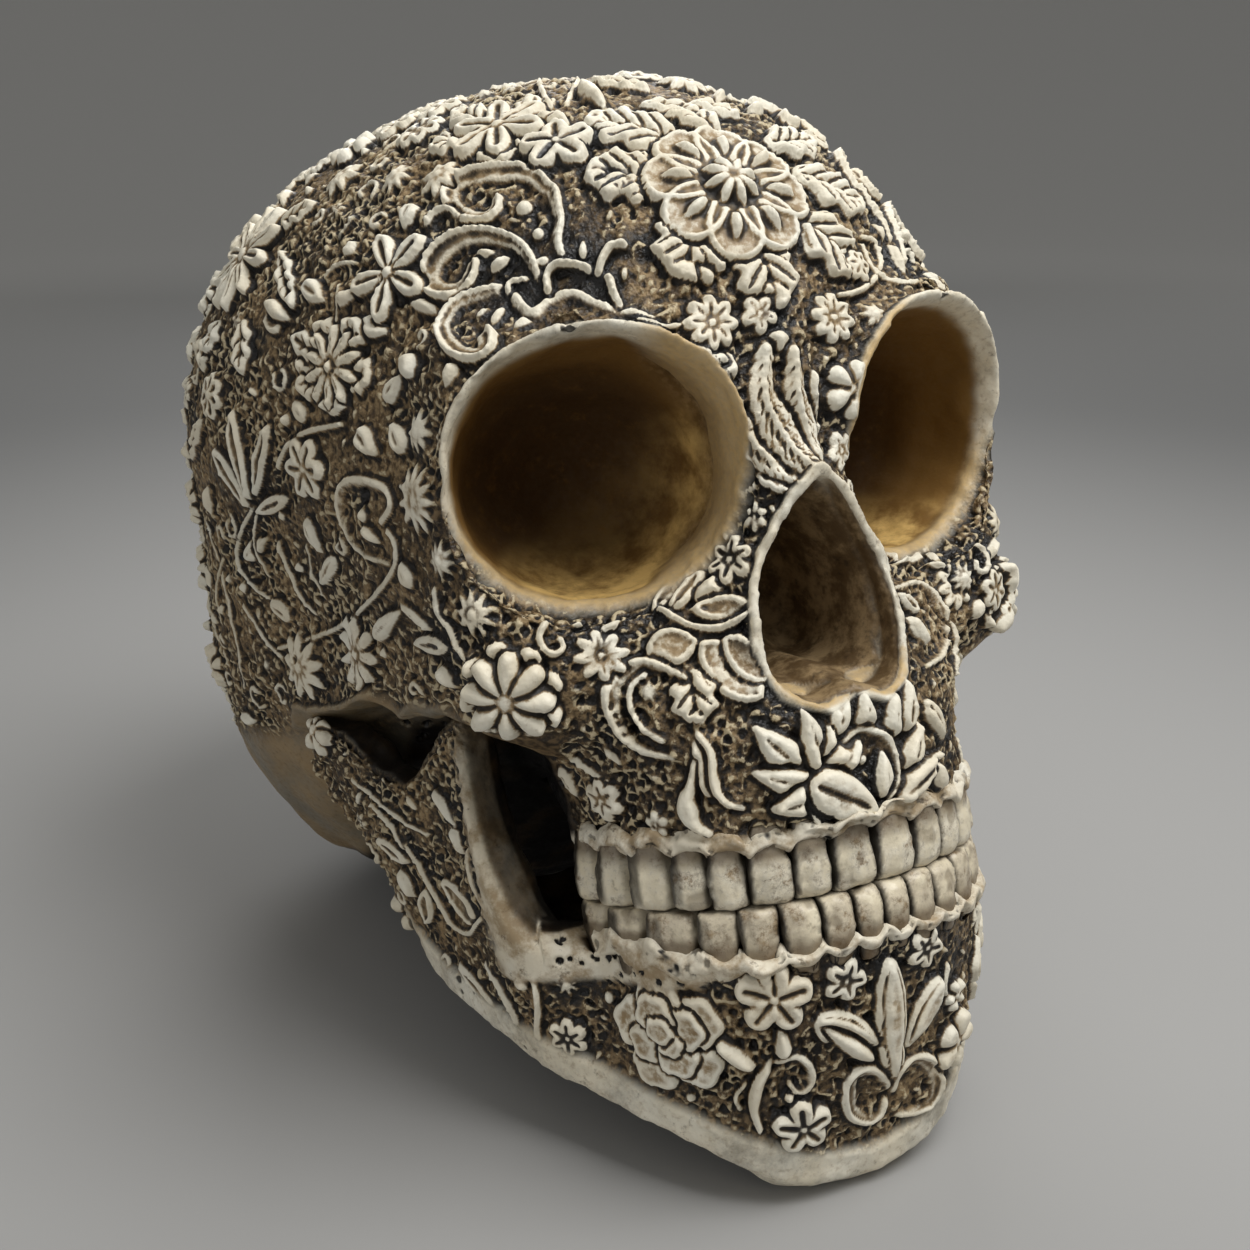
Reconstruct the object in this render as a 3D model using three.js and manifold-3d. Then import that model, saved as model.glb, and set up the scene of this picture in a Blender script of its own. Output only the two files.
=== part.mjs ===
// A carved skull ornament in cast resin: a cranium, a lower jaw glued under it, and 32 teeth set in both.
// Sizes are in millimetres. The skull is drawn upright in its own frame, with x to its left, y to its back
// and z up, and the origin between the ears. The last lines tip it back on to its chin and its nape.
import * as THREE from 'three';
import { mergeVertices } from 'three/addons/utils/BufferGeometryUtils.js';
import Module from 'manifold-3d';

const wasm = await Module();
wasm.setup();

const { degToRad, lerp, clamp } = THREE.MathUtils;

// Glue line between two castings, how far a cut runs past the face that it opens, and when two points are one
const jointGap = 0.3;
const cutOverrun = 12;
const weldDistance = 0.0001;

// Rest: the skull is tipped back by this angle, and its chin and nape are ground flat at this depth
const restPitch = degToRad(17.4);
const restDrop = 81;

// Braincase, forehead, nape and skull base: half sizes and middles
const braincaseHalfWidth = 73;
const braincaseHalfLength = 83;
const braincaseHalfHeight = 65;
const braincaseSetBack = 10;
const braincaseRise = 32;
const foreheadHalfWidth = 59;
const foreheadHalfLength = 58;
const foreheadHalfHeight = 54;
const foreheadForward = 32;
const foreheadRise = 33;
const napeHalfWidth = 62;
const napeHalfLength = 44;
const napeHalfHeight = 48;
const napeSetBack = 42;
const napeDrop = 25;
const baseHalfWidth = 71;
const baseHalfLength = 55;
const baseHalfHeight = 46;
const baseSetBack = 26;
const baseDrop = 6;
const vaultBlend = 16;

// Face: the mass behind the sockets, the temples, the cheekbones and the arches that run back from them
const faceHalfWidth = 52;
const faceHalfDepth = 40;
const faceHalfHeight = 36;
const faceForward = 40;
const faceRise = 14;
const templeHalfWidth = 20;
const templeHalfLength = 38;
const templeHalfHeight = 34;
const templeOut = 42;
const templeForward = 36;
const templeRise = 14;
const cheekHalfWidth = 15;
const cheekHalfDepth = 13;
const cheekHalfHeight = 15;
const cheekOut = 39.5;
const cheekForward = 65;
const cheekDrop = 11;
const archRadius = 6.5;
const archFrontOut = 48;
const archFrontForward = 62;
const archRearOut = 60;
const archRearForward = 2;
const archDrop = 14;
const faceBlend = 6;

// Hollow under each arch, which the lower jaw rises into
const fossaOut = 38;
const fossaForward = 38;
const fossaHalfWidth = 11;
const fossaHalfLength = 20;
const fossaRoofDrop = 10;
const fossaTurn = degToRad(14);
const fossaSquareness = 2.4;
const fossaSizeShares = [0.6, 0.85, 1];
const fossaLevelShares = [0, 0.25, 1];

// Eye sockets
const socketOut = 31.5;
const socketForward = 76.5;
const socketRise = 17;
const socketHalfWidth = 22.8;
const socketHalfHeight = 21.5;
const socketDepth = 31;
const socketTurn = degToRad(20);
const socketTip = degToRad(16);
const socketInwardTurn = degToRad(16);
const socketSquareness = 2.1;
const socketRimRadius = 3;
const socketRimShare = 1.02;
const socketMouthShare = 1.15;
const socketDepthShares = [0, 0.12, 0.36, 0.62, 0.84, 0.96];
const socketSizeShares = [1, 0.96, 0.92, 0.8, 0.58, 0.3];
const browRadius = 10;
const browInnerOut = 14;
const browInnerForward = 72;
const browOuterOut = 43;
const browOuterForward = 65;
const browRise = 34;
const pillarOut = 45;
const pillarForward = 61;
const browHoleRadius = 1.4;
const browHoleOut = 35;
const browHoleForward = 75;

// Nose
const noseRootHalfWidth = 8;
const noseRootHalfDepth = 13;
const noseRootHalfHeight = 24;
const noseRootForward = 76;
const noseRootRise = 28;
const noseBridgeRadius = 4.5;
const noseTipForward = 90;
const noseHoleTopRise = 11;
const noseHoleBottomDrop = 23;
const noseHoleHalfWidth = 12.5;
const noseHoleDepth = 26;
const noseSideForward = 86;
const noseRimRadius = 2.6;
const noseRimShare = 1.05;
const noseMouthShare = 1.1;
// Half of the pear outline, from its top down, and the rings of the hollow behind it
const noseWidthShares = [0, 0.3, 0.62, 0.9, 1, 0.84, 0.42, 0.12];
const noseHeightShares = [1, 0.82, 0.5, 0.1, -0.45, -0.85, -1, -0.9];
const noseRingSizeShares = [1, 0.86, 0.7, 0.4];
const noseRingDepthShares = [0, 0.2, 0.8, 1];

// Upper jaw and the smooth core behind the teeth
const maxillaHalfWidth = 42;
const maxillaHalfDepth = 30;
const maxillaHalfHeight = 26;
const maxillaForward = 60;
const maxillaDrop = 18;
const gumTopDrop = 22;
const gumCorner = 3;
const coreHalfWidth = 27;
const coreHalfDepth = 33;
const coreHalfHeight = 34;
const coreForward = 40;
const coreDrop = 36;

// Row of teeth: the outer line that both rows follow, and the levels of gums and bite
const rowHalfWidth = 36;
const rowHalfDepth = 39.5;
const rowForward = 55;
const rowSquareness = 2.3;
const upperGumDrop = 45;
const biteDrop = 54;
const lowerGumDrop = 61.5;
const toothThickness = 8;
const rootDepth = 4;
const biteGap = 0.4;
const toothSquareness = 2.8;
const rootWidthShare = 0.62;
const innerWidthShare = 0.68;

// Teeth from the midline to the last molar, with their widths as shares of one side of the row
const toothNames = ['central_incisor', 'lateral_incisor', 'canine', 'first_premolar', 'second_premolar',
  'first_molar', 'second_molar', 'third_molar'];
const upperWidthShares = [0.137, 0.112, 0.124, 0.11, 0.108, 0.15, 0.142, 0.117];
const lowerWidthShares = [0.09, 0.098, 0.114, 0.115, 0.117, 0.166, 0.158, 0.142];
const FRONT_TEETH = 3;

// Rings of a crown from its neck to its bite: height, width and thickness
const crownLevelShares = [-0.12, 0.45, 0.85, 1];
const crownWidthShares = [0.82, 1, 0.99, 0.9];
const crownThicknessShares = [0.86, 1, 0.86, 0.5];
const molarThicknessShares = [0.86, 1, 0.98, 0.8];

// Lower jaw: lower border, ramus and floor of the mouth
const jawHalfWidth = 50;
const chinForward = 78;
const chinDrop = 109;
const jawThickness = 13;
const jawBulge = 1;
const ramusThickness = 9;
const coronoidOut = 51;
const coronoidForward = 46;
const notchOut = 56;
const notchForward = 28;
const notchDrop = 33;
const condyleOut = 63;
const condyleForward = 6;
const mouthFloorRise = 3;
const mouthFloorThickness = 16;

// Lower border of the jaw, from the chin to the corner and up the rear edge
const borderOutShares = [0, 0.28, 0.46, 0.62, 0.74, 0.84, 0.92, 0.99, 1.01, 1, 1.02];
const borderForwardShares = [1, 0.995, 0.955, 0.86, 0.735, 0.61, 0.48, 0.33, 0.215, 0.14, 0.08];
const borderDropShares = [1, 0.975, 0.925, 0.87, 0.823, 0.782, 0.742, 0.696, 0.655, 0.605, 0.5];

// Where the jaw's upper edge follows the row, where its body gives way to the ramus, and the levels of its
// outline: down both faces, across the border and across the top
const rowEdgeShares = [0, 0.2, 0.42, 0.65, 0.88];
const bodyEndShare = 0.4;
const ramusStartShare = 0.7;
const jawLevelShares = [0.04, 0.3, 0.55, 0.8, 0.95];
const borderShares = [0.3, 0.7];
const topShares = [0.85, 0.15];

// Where the rays that find the skin start from, as shares of the forehead's and the braincase's places
const rayForwardShare = 0.5;
const rayRiseShare = 0.556;

// The angles over which the skin is finer, and how finely it follows the face, the vault and the sides
const faceFrom = degToRad(-74);
const faceTo = degToRad(34);
const earFrom = degToRad(52);
const middleCrowdShare = 0.75;
const FACE_STEPS = 38;
const VAULT_STEPS = 26;
const FRONT_STEPS = 34;
const EAR_STEPS = 5;
const RAY_STEPS = 40;
const RAY_HALVINGS = 14;
const SOCKET_SIDES = 26;
const NOSE_SIDES = 32;
const FOSSA_SIDES = 20;
const HOLE_SIDES = 8;
const TOOTH_SIDES = 8;
const JAW_STEPS = 30;

// Finish of the castings
const resinColour = 0xd8cfb8;
const toothColour = 0xe0d8c0;
const resinRoughness = 0.6;
const toothRoughness = 0.45;
const metalness = 0;

const at = (x, y, z) => new THREE.Vector3(x, y, z);

function toSolid(geometry) {
  const shape = geometry.clone();
  shape.deleteAttribute('normal');
  shape.deleteAttribute('uv');
  const merged = mergeVertices(shape, weldDistance);
  return new wasm.Manifold(new wasm.Mesh({
    numProp: 3,
    vertProperties: merged.attributes.position.array,
    triVerts: new Uint32Array(merged.index.array),
  }));
}

function toGeometry(solid) {
  const { vertProperties, triVerts } = solid.getMesh();
  const geometry = new THREE.BufferGeometry();
  geometry.setAttribute('position', new THREE.BufferAttribute(new Float32Array(vertProperties), 3));
  geometry.setIndex(new THREE.BufferAttribute(new Uint32Array(triVerts), 1));
  return geometry;
}

// A closed skin over rings of points, drawn together to one point at each end.
function ringSkin(rings, start, end) {
  const count = rings[0].length;
  const last = 1 + rings.length * count;
  const spot = (ring, i) => 1 + ring * count + (i % count);
  const index = [];
  for (let i = 0; i < count; i += 1) {
    index.push(0, spot(0, i), spot(0, i + 1));
    index.push(spot(rings.length - 1, i + 1), spot(rings.length - 1, i), last);
    for (let r = 0; r + 1 < rings.length; r += 1) {
      index.push(spot(r, i + 1), spot(r, i), spot(r + 1, i));
      index.push(spot(r, i + 1), spot(r + 1, i), spot(r + 1, i + 1));
    }
  }
  const geometry = new THREE.BufferGeometry();
  geometry.setFromPoints([start, ...rings.flat(), end]);
  geometry.setIndex(index);
  return geometry;
}

// The same skin on the other side of the skull.
function mirrored(geometry) {
  const copy = geometry.clone().scale(-1, 1, 1);
  const index = Array.from(copy.index.array);
  for (let i = 0; i < index.length; i += 3) [index[i], index[i + 1]] = [index[i + 1], index[i]];
  copy.setIndex(index);
  return copy;
}

const bothSides = (geometry) => toSolid(geometry).add(toSolid(mirrored(geometry)));

// A point of a rounded square outline of half size 1.
function roundedSquare(angle, squareness) {
  const bend = (value) => Math.sign(value) * Math.abs(value) ** (2 / squareness);
  return new THREE.Vector2(bend(Math.cos(angle)), bend(Math.sin(angle)));
}

const turns = (count) => Array.from({ length: count }, (_, i) => (2 * Math.PI * i) / count);

// Two distances as one, with the corner between their masses filled over the blend.
function softMin(a, b, blend) {
  const overlap = Math.max(blend - Math.abs(a - b), 0) / blend;
  return Math.min(a, b) - (overlap * overlap * blend) / 4;
}

function ellipsoid(middle, radii) {
  return (p) => {
    const q = p.clone().sub(middle).divide(radii);
    const near = q.length();
    return near === 0 ? -Math.min(...radii.toArray()) : (near * (near - 1)) / q.divide(radii).length();
  };
}

function rod(from, to, radius) {
  const line = new THREE.Line3(from, to);
  const nearest = at(0, 0, 0);
  return (p) => line.closestPointToPoint(p, true, nearest).distanceTo(p) - radius;
}

function rodLoop(points, radius) {
  const rods = points.map((point, i) => rod(point, points[(i + 1) % points.length], radius));
  return (p) => Math.min(...rods.map((distance) => distance(p)));
}

// Eye sockets: a frame in the plane of the rim, and rings along the axis
const socketMiddle = at(socketOut, -socketForward, socketRise);
const socketFrame = new THREE.Matrix4()
  .makeRotationZ(socketTurn)
  .multiply(new THREE.Matrix4().makeRotationX(socketTip));
const socketAxis = at(0, 1, 0).applyAxisAngle(at(0, 0, 1), socketInwardTurn);

function socketRing(sizeShare, depth) {
  return turns(SOCKET_SIDES).map((angle) => {
    const unit = roundedSquare(angle, socketSquareness);
    return at(unit.x * socketHalfWidth * sizeShare, 0, unit.y * socketHalfHeight * sizeShare)
      .applyMatrix4(socketFrame)
      .add(socketMiddle)
      .addScaledVector(socketAxis, depth);
  });
}

function socketCut() {
  const rings = socketDepthShares.map((share, i) => socketRing(socketSizeShares[i], share * socketDepth));
  const mouth = socketRing(socketMouthShare, -cutOverrun);
  const axisPoint = (depth) => socketMiddle.clone().addScaledVector(socketAxis, depth);
  return ringSkin([mouth, ...rings], axisPoint(-cutOverrun), axisPoint(socketDepth));
}

const noseMiddleRise = (noseHoleTopRise - noseHoleBottomDrop) / 2;

// A pear outline that stands further forward on the midline than at its sides.
function noseOutline(sizeShare) {
  const halfHeight = (noseHoleTopRise + noseHoleBottomDrop) / 2;
  const half = noseWidthShares.map((share, i) => (
    at(share * noseHoleHalfWidth, 0, noseHeightShares[i] * halfHeight)
  ));
  const other = half.slice(1).reverse().map((p) => at(-p.x, 0, p.z));
  const curve = new THREE.CatmullRomCurve3([...half, ...other], true, 'centripetal');
  return curve.getSpacedPoints(NOSE_SIDES).slice(0, NOSE_SIDES).map((p) => {
    const level = clamp(Math.abs(p.x) / noseHoleHalfWidth, 0, 1);
    return at(p.x * sizeShare, -lerp(noseTipForward, noseSideForward, level), noseMiddleRise + p.z * sizeShare);
  });
}

function noseCut() {
  const slide = (ring, depth) => ring.map((p) => at(p.x, p.y + depth, p.z));
  const mouth = slide(noseOutline(noseMouthShare), -cutOverrun);
  const inner = noseRingDepthShares.map((share, i) => (
    slide(noseOutline(noseRingSizeShares[i]), noseHoleDepth * share)
  ));
  const rings = [mouth, ...inner];
  const axisPoint = (depth) => at(0, -noseSideForward + depth, noseMiddleRise);
  return ringSkin(rings.reverse(), axisPoint(noseHoleDepth), axisPoint(-cutOverrun));
}

// The outer line of both rows of teeth, from the right to the left.
class ToothRow extends THREE.Curve {
  getPoint(share, target = at(0, 0, 0)) {
    const unit = roundedSquare(Math.PI * share, rowSquareness);
    return target.set(-unit.x * rowHalfWidth, -rowForward - unit.y * rowHalfDepth, 0);
  }
}

const row = new ToothRow();

// The gum above the upper row: the row's own outline, carried up and rounded at its edges.
function gumMass(p) {
  const x = Math.abs(p.x) / rowHalfWidth;
  const y = Math.max(-p.y - rowForward, 0) / rowHalfDepth;
  const reach = (x ** rowSquareness + y ** rowSquareness) ** (1 / rowSquareness);
  const side = (reach - 1) * Math.min(rowHalfWidth, rowHalfDepth) + gumCorner;
  const level = Math.abs(p.z + (gumTopDrop + upperGumDrop) / 2) - (upperGumDrop - gumTopDrop) / 2 + gumCorner;
  const back = p.y + rowForward - toothThickness + gumCorner;
  const outside = at(Math.max(side, 0), Math.max(level, 0), Math.max(back, 0)).length();
  return Math.min(Math.max(side, level, back), 0) + outside - gumCorner;
}

const vaultMasses = [
  ellipsoid(
    at(0, braincaseSetBack, braincaseRise),
    at(braincaseHalfWidth, braincaseHalfLength, braincaseHalfHeight),
  ),
  ellipsoid(
    at(0, -foreheadForward, foreheadRise),
    at(foreheadHalfWidth, foreheadHalfLength, foreheadHalfHeight),
  ),
  ellipsoid(at(0, napeSetBack, -napeDrop), at(napeHalfWidth, napeHalfLength, napeHalfHeight)),
  ellipsoid(at(0, baseSetBack, -baseDrop), at(baseHalfWidth, baseHalfLength, baseHalfHeight)),
];
const faceMasses = [
  ellipsoid(at(0, -faceForward, faceRise), at(faceHalfWidth, faceHalfDepth, faceHalfHeight)),
  ellipsoid(at(templeOut, -templeForward, templeRise), at(templeHalfWidth, templeHalfLength, templeHalfHeight)),
  ellipsoid(at(cheekOut, -cheekForward, -cheekDrop), at(cheekHalfWidth, cheekHalfDepth, cheekHalfHeight)),
  rod(at(browInnerOut, -browInnerForward, browRise), at(browOuterOut, -browOuterForward, browRise), browRadius),
  rod(at(browOuterOut, -browOuterForward, browRise), at(pillarOut, -pillarForward, 0), browRadius),
  rod(at(pillarOut, -pillarForward, 0), at(archRearOut - archRadius, -archRearForward, 0), browRadius),
  rod(at(archFrontOut, -archFrontForward, -archDrop), at(archRearOut, -archRearForward, -archDrop), archRadius),
  ellipsoid(
    at(0, -noseRootForward, noseRootRise),
    at(noseRootHalfWidth, noseRootHalfDepth, noseRootHalfHeight),
  ),
  rod(
    at(0, -noseRootForward, noseRootRise),
    at(0, -noseTipForward + noseBridgeRadius, noseHoleTopRise),
    noseBridgeRadius,
  ),
  ellipsoid(at(0, -maxillaForward, -maxillaDrop), at(maxillaHalfWidth, maxillaHalfDepth, maxillaHalfHeight)),
  ellipsoid(at(0, -coreForward, -coreDrop), at(coreHalfWidth, coreHalfDepth, coreHalfHeight)),
  gumMass,
];
const rimMasses = [
  rodLoop(socketRing(socketRimShare, 0), socketRimRadius),
  rodLoop(noseOutline(noseRimShare), noseRimRadius),
];

function craniumField(point) {
  const p = at(Math.abs(point.x), point.y, point.z);
  const vault = vaultMasses.map((mass) => mass(p)).reduce((a, b) => softMin(a, b, vaultBlend));
  const face = faceMasses.map((mass) => mass(p)).reduce((a, b) => softMin(a, b, faceBlend), vault);
  return rimMasses.map((mass) => mass(p)).reduce((a, b) => softMin(a, b, faceBlend), face);
}

// The last place where a ray from the middle leaves a field, found from outside.
function castRay(field, middle, direction) {
  const walk = (distance) => middle.clone().addScaledVector(direction, distance);
  const stride = braincaseHalfLength / RAY_STEPS;
  let far = braincaseHalfLength * 2;
  while (far > stride && field(walk(far - stride)) > 0) far -= stride;
  let near = far - stride;
  for (let i = 0; i < RAY_HALVINGS; i += 1) {
    const half = (near + far) / 2;
    if (field(walk(half)) < 0) near = half;
    else far = half;
  }
  return walk((near + far) / 2);
}

const craniumMiddle = at(0, -foreheadForward * rayForwardShare, braincaseRise * rayRiseShare);

// Rings of rays run from ear to ear. They lie closer together over the face.
function skinOf(field) {
  const spread = (from, to, steps) => Array.from({ length: steps }, (_, i) => lerp(from, to, i / steps));
  const sweep = [
    ...spread(faceFrom, faceTo, FACE_STEPS),
    ...spread(faceTo, faceFrom + 2 * Math.PI, VAULT_STEPS),
  ];
  const tilts = [
    ...spread(-Math.PI / 2, -earFrom, EAR_STEPS).slice(1),
    ...spread(-1, 1, FRONT_STEPS).map((share) => earFrom * share * lerp(middleCrowdShare, 1, share * share)),
    ...spread(earFrom, Math.PI / 2, EAR_STEPS),
  ];
  const rings = tilts.map((tilt) => sweep.map((turn) => castRay(field, craniumMiddle, at(
    Math.sin(tilt),
    -Math.cos(tilt) * Math.cos(turn),
    Math.cos(tilt) * Math.sin(turn),
  ))));
  const [start, end] = [-1, 1].map((side) => castRay(field, craniumMiddle, at(side, 0, 0)));
  return ringSkin(rings, start, end);
}

function fossaCut() {
  const ring = (sizeShare, drop) => turns(FOSSA_SIDES).map((angle) => {
    const unit = roundedSquare(angle, fossaSquareness);
    return at(unit.x * fossaHalfWidth * sizeShare, unit.y * fossaHalfLength * sizeShare, 0)
      .applyAxisAngle(at(0, 0, 1), fossaTurn)
      .add(at(fossaOut, -fossaForward, -drop));
  });
  const floor = coreDrop + coreHalfHeight + cutOverrun;
  const roof = fossaSizeShares.map((share, i) => (
    ring(share, fossaRoofDrop + fossaHalfWidth * fossaLevelShares[i])
  ));
  const axisPoint = (drop) => at(fossaOut, -fossaForward, -drop);
  return ringSkin([...roof, ring(1, floor)], axisPoint(fossaRoofDrop), axisPoint(floor));
}

const fossae = bothSides(fossaCut());
const browHole = new THREE.CylinderGeometry(browHoleRadius, browHoleRadius, cutOverrun * 2, HOLE_SIDES)
  .translate(browHoleOut, -browHoleForward - cutOverrun, socketRise + socketHalfHeight + browHoleRadius);
const hollowCranium = toSolid(skinOf(craniumField))
  .subtract(bothSides(socketCut()))
  .subtract(toSolid(noseCut()))
  .subtract(bothSides(browHole))
  .subtract(fossae);

// A crown on its root, with the outer face towards the lips. The margin enlarges it all round.
function toothSkin({ width, crown, isMolar, isUpper }, margin) {
  const thicknesses = isMolar ? molarThicknessShares : crownThicknessShares;
  const inward = isUpper ? -1 : 1;
  const ring = (widthShare, thicknessShare, level) => turns(TOOTH_SIDES).map((angle) => {
    const unit = roundedSquare(angle, toothSquareness);
    const narrowing = lerp(1, innerWidthShare, (1 + inward * unit.y) / 2);
    return at(
      unit.x * ((width / 2) * widthShare * narrowing + margin),
      unit.y * ((toothThickness / 2) * thicknessShare + margin),
      level,
    );
  });
  const root = ring(rootWidthShare, rootWidthShare, -rootDepth - margin);
  const body = crownLevelShares.map((share, i) => ring(crownWidthShares[i], thicknesses[i], crown * share));
  const start = at(0, 0, -rootDepth - margin);
  const end = at(0, 0, crown + margin);
  return ringSkin([root, ...body].reverse(), end, start);
}

// Places both rows: each tooth stands on its gum, square to the row, with its outer face on the row's line.
function toothPlaces(widthShares, isUpper) {
  const gum = isUpper ? upperGumDrop : lowerGumDrop;
  const crown = Math.abs(gum - biteDrop) - biteGap / 2;
  const half = row.getLength() / 2;
  const places = [];
  for (const side of [-1, 1]) {
    let along = 0;
    widthShares.forEach((share, i) => {
      const width = share * half;
      const middle = half + side * (along + width / 2);
      along += width;
      const spot = row.getPointAt(clamp(middle / (half * 2), 0, 1));
      const heading = row.getTangentAt(clamp(middle / (half * 2), 0, 1));
      const turn = Math.atan2(heading.y, heading.x);
      const inward = at(-heading.y, heading.x, 0).normalize();
      const frame = new THREE.Matrix4()
        .makeTranslation(spot.addScaledVector(inward, toothThickness / 2).setZ(-gum))
        .multiply(new THREE.Matrix4().makeRotationZ(turn));
      if (isUpper) frame.multiply(new THREE.Matrix4().makeRotationX(Math.PI));
      const name = `${isUpper ? 'upper' : 'lower'}_${side < 0 ? 'right' : 'left'}_${toothNames[i]}`;
      places.push({ name, frame, width: width - jointGap, crown, isMolar: i >= FRONT_TEETH, isUpper });
    });
  }
  return places;
}

const upperTeeth = toothPlaces(upperWidthShares, true);
const lowerTeeth = toothPlaces(lowerWidthShares, false);
const toothGeometry = (tooth, margin) => toothSkin(tooth, margin)
  .applyMatrix4(tooth.frame);
const toothSockets = (teeth) => teeth.map((tooth) => toSolid(toothGeometry(tooth, jointGap)))
  .reduce((a, b) => a.add(b));

const borderPoints = borderOutShares.map((share, i) => at(
  share * jawHalfWidth,
  -borderForwardShares[i] * chinForward,
  -borderDropShares[i] * chinDrop,
));

// Upper edge of the jaw: under the row, up the ramus to the coronoid, and through the notch to the condyle
const rowEdge = (share) => row.getPointAt(0.5 + share / 2).setZ(-lowerGumDrop);
const archBottom = archDrop + archRadius;
const halfRamus = ramusThickness / 2;
const topPoints = [
  ...rowEdgeShares.map(rowEdge),
  at(coronoidOut - halfRamus, -coronoidForward - ramusThickness, -biteDrop - halfRamus),
  at(coronoidOut, -coronoidForward - halfRamus, -notchDrop - ramusThickness),
  at(coronoidOut, -coronoidForward, -archBottom),
  at(notchOut, -notchForward, -notchDrop),
  at(condyleOut, -condyleForward, -archBottom),
  at(condyleOut, -condyleForward + ramusThickness, -archBottom - ramusThickness),
];
const topEdge = new THREE.CatmullRomCurve3(topPoints);
const borderEdge = new THREE.CatmullRomCurve3(borderPoints);

// The outline of the jaw where it is cut across: down its outer face, under the border and up its inner face.
function jawSection(share) {
  const top = topEdge.getPoint(share);
  const border = borderEdge.getPoint(share);
  const heading = borderEdge.getTangent(share);
  const outward = at(heading.y, -heading.x, 0).normalize();
  const ramusShare = clamp((share - bodyEndShare) / (ramusStartShare - bodyEndShare), 0, 1);
  const thickness = lerp(jawThickness, ramusThickness, ramusShare);
  const inFrom = (point, depth) => point.clone().addScaledVector(outward, -depth);
  const outer = jawLevelShares.map((level) => (
    inFrom(top.clone().lerp(border, level), -Math.sin(Math.PI * level) * jawBulge)
  ));
  const inner = jawLevelShares.map((level) => inFrom(top.clone().lerp(border, level), thickness));
  return [
    ...outer,
    ...borderShares.map((depth) => inFrom(border, thickness * depth)),
    ...inner.reverse(),
    ...topShares.map((depth) => inFrom(top, thickness * depth)),
  ];
}

const sections = Array.from({ length: JAW_STEPS + 1 }, (_, i) => jawSection(i / JAW_STEPS));
const flip = (ring) => ring.map((p) => at(-p.x, p.y, p.z));
const jawRings = [...[...sections].reverse(), ...sections.slice(1).map(flip)];
const middleOf = (ring) => ring.reduce((a, b) => a.clone().add(b)).divideScalar(ring.length);
const jawSkin = ringSkin(jawRings, middleOf(jawRings[0]), middleOf(jawRings[jawRings.length - 1]));

// The floor of the mouth is a plate that follows the lower border, rib by rib from chin to rear.
function mouthFloor() {
  const ribs = borderPoints.slice(1, -3).map((p) => {
    const out = p.x - jawThickness / 2;
    const low = p.z + mouthFloorRise;
    const high = low + mouthFloorThickness;
    const back = p.y + jawThickness / 2;
    return [at(out, back, low), at(out, back, high), at(-out, back, high), at(-out, back, low)];
  });
  return ringSkin(ribs, middleOf(ribs[0]), middleOf(ribs[ribs.length - 1]));
}

// Everything under the resting plane, drawn in the upright skull's own frame
const restBlockSize = braincaseHalfLength * 4;
const belowRest = toSolid(new THREE.BoxGeometry(restBlockSize, restBlockSize, restBlockSize)
  .translate(0, 0, -restDrop - restBlockSize / 2)
  .rotateX(restPitch));

// The jaw keeps clear of the cranium by the glue line, and so do the teeth in their sockets.
const craniumSpace = toSolid(skinOf((p) => craniumField(p) - jointGap)).subtract(fossae);
const cranium = hollowCranium.subtract(toothSockets(upperTeeth)).subtract(belowRest);
const lowerJaw = toSolid(jawSkin)
  .add(toSolid(mouthFloor()))
  .subtract(craniumSpace)
  .subtract(toothSockets(lowerTeeth))
  .subtract(belowRest);

const pose = new THREE.Group();
pose.name = 'pose';
const addMesh = (name, geometry, color, roughness) => {
  const mesh = new THREE.Mesh(geometry, new THREE.MeshStandardMaterial({ color, roughness, metalness }));
  mesh.name = name;
  pose.add(mesh);
};
addMesh('cranium', toGeometry(cranium), resinColour, resinRoughness);
addMesh('lower_jaw', toGeometry(lowerJaw), resinColour, resinRoughness);
[...upperTeeth, ...lowerTeeth].forEach((tooth) => {
  addMesh(tooth.name, toGeometry(toSolid(toothGeometry(tooth, 0))), toothColour, toothRoughness);
});

pose.rotation.x = -restPitch;
const object = new THREE.Group();
object.add(pose);
const box = new THREE.Box3().setFromObject(object, true);
pose.position.set(0, -(box.min.y + box.max.y) / 2, restDrop);

export default object;
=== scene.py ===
import math
import random

import bpy
import numpy as np
from mathutils import Matrix, Vector
from mathutils.bvhtree import BVHTree


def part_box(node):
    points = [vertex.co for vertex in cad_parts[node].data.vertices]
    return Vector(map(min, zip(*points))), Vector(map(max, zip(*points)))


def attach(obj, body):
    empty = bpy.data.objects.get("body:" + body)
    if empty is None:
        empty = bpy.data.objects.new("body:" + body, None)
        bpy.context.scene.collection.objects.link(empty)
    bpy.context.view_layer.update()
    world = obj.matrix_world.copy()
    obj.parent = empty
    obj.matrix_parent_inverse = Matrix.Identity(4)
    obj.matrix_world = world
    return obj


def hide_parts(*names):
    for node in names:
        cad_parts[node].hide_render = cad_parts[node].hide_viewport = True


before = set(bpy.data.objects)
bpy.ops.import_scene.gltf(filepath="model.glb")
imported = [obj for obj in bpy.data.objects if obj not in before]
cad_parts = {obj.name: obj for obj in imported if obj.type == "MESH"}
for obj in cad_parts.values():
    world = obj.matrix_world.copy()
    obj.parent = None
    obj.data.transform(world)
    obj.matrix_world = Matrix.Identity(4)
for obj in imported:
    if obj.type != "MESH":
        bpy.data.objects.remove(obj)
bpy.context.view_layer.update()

bl_info = {
    "name": "Carved skull",
    "version": (1, 0, 0),
    "blender": (4, 5, 0),
    "location": "View3D > Sidebar > Skull",
    "description": "Carves flowers, leaves and scrolls on a resting skull and gives it an old resin finish",
    "category": "Object",
}

MM = 0.001

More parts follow.
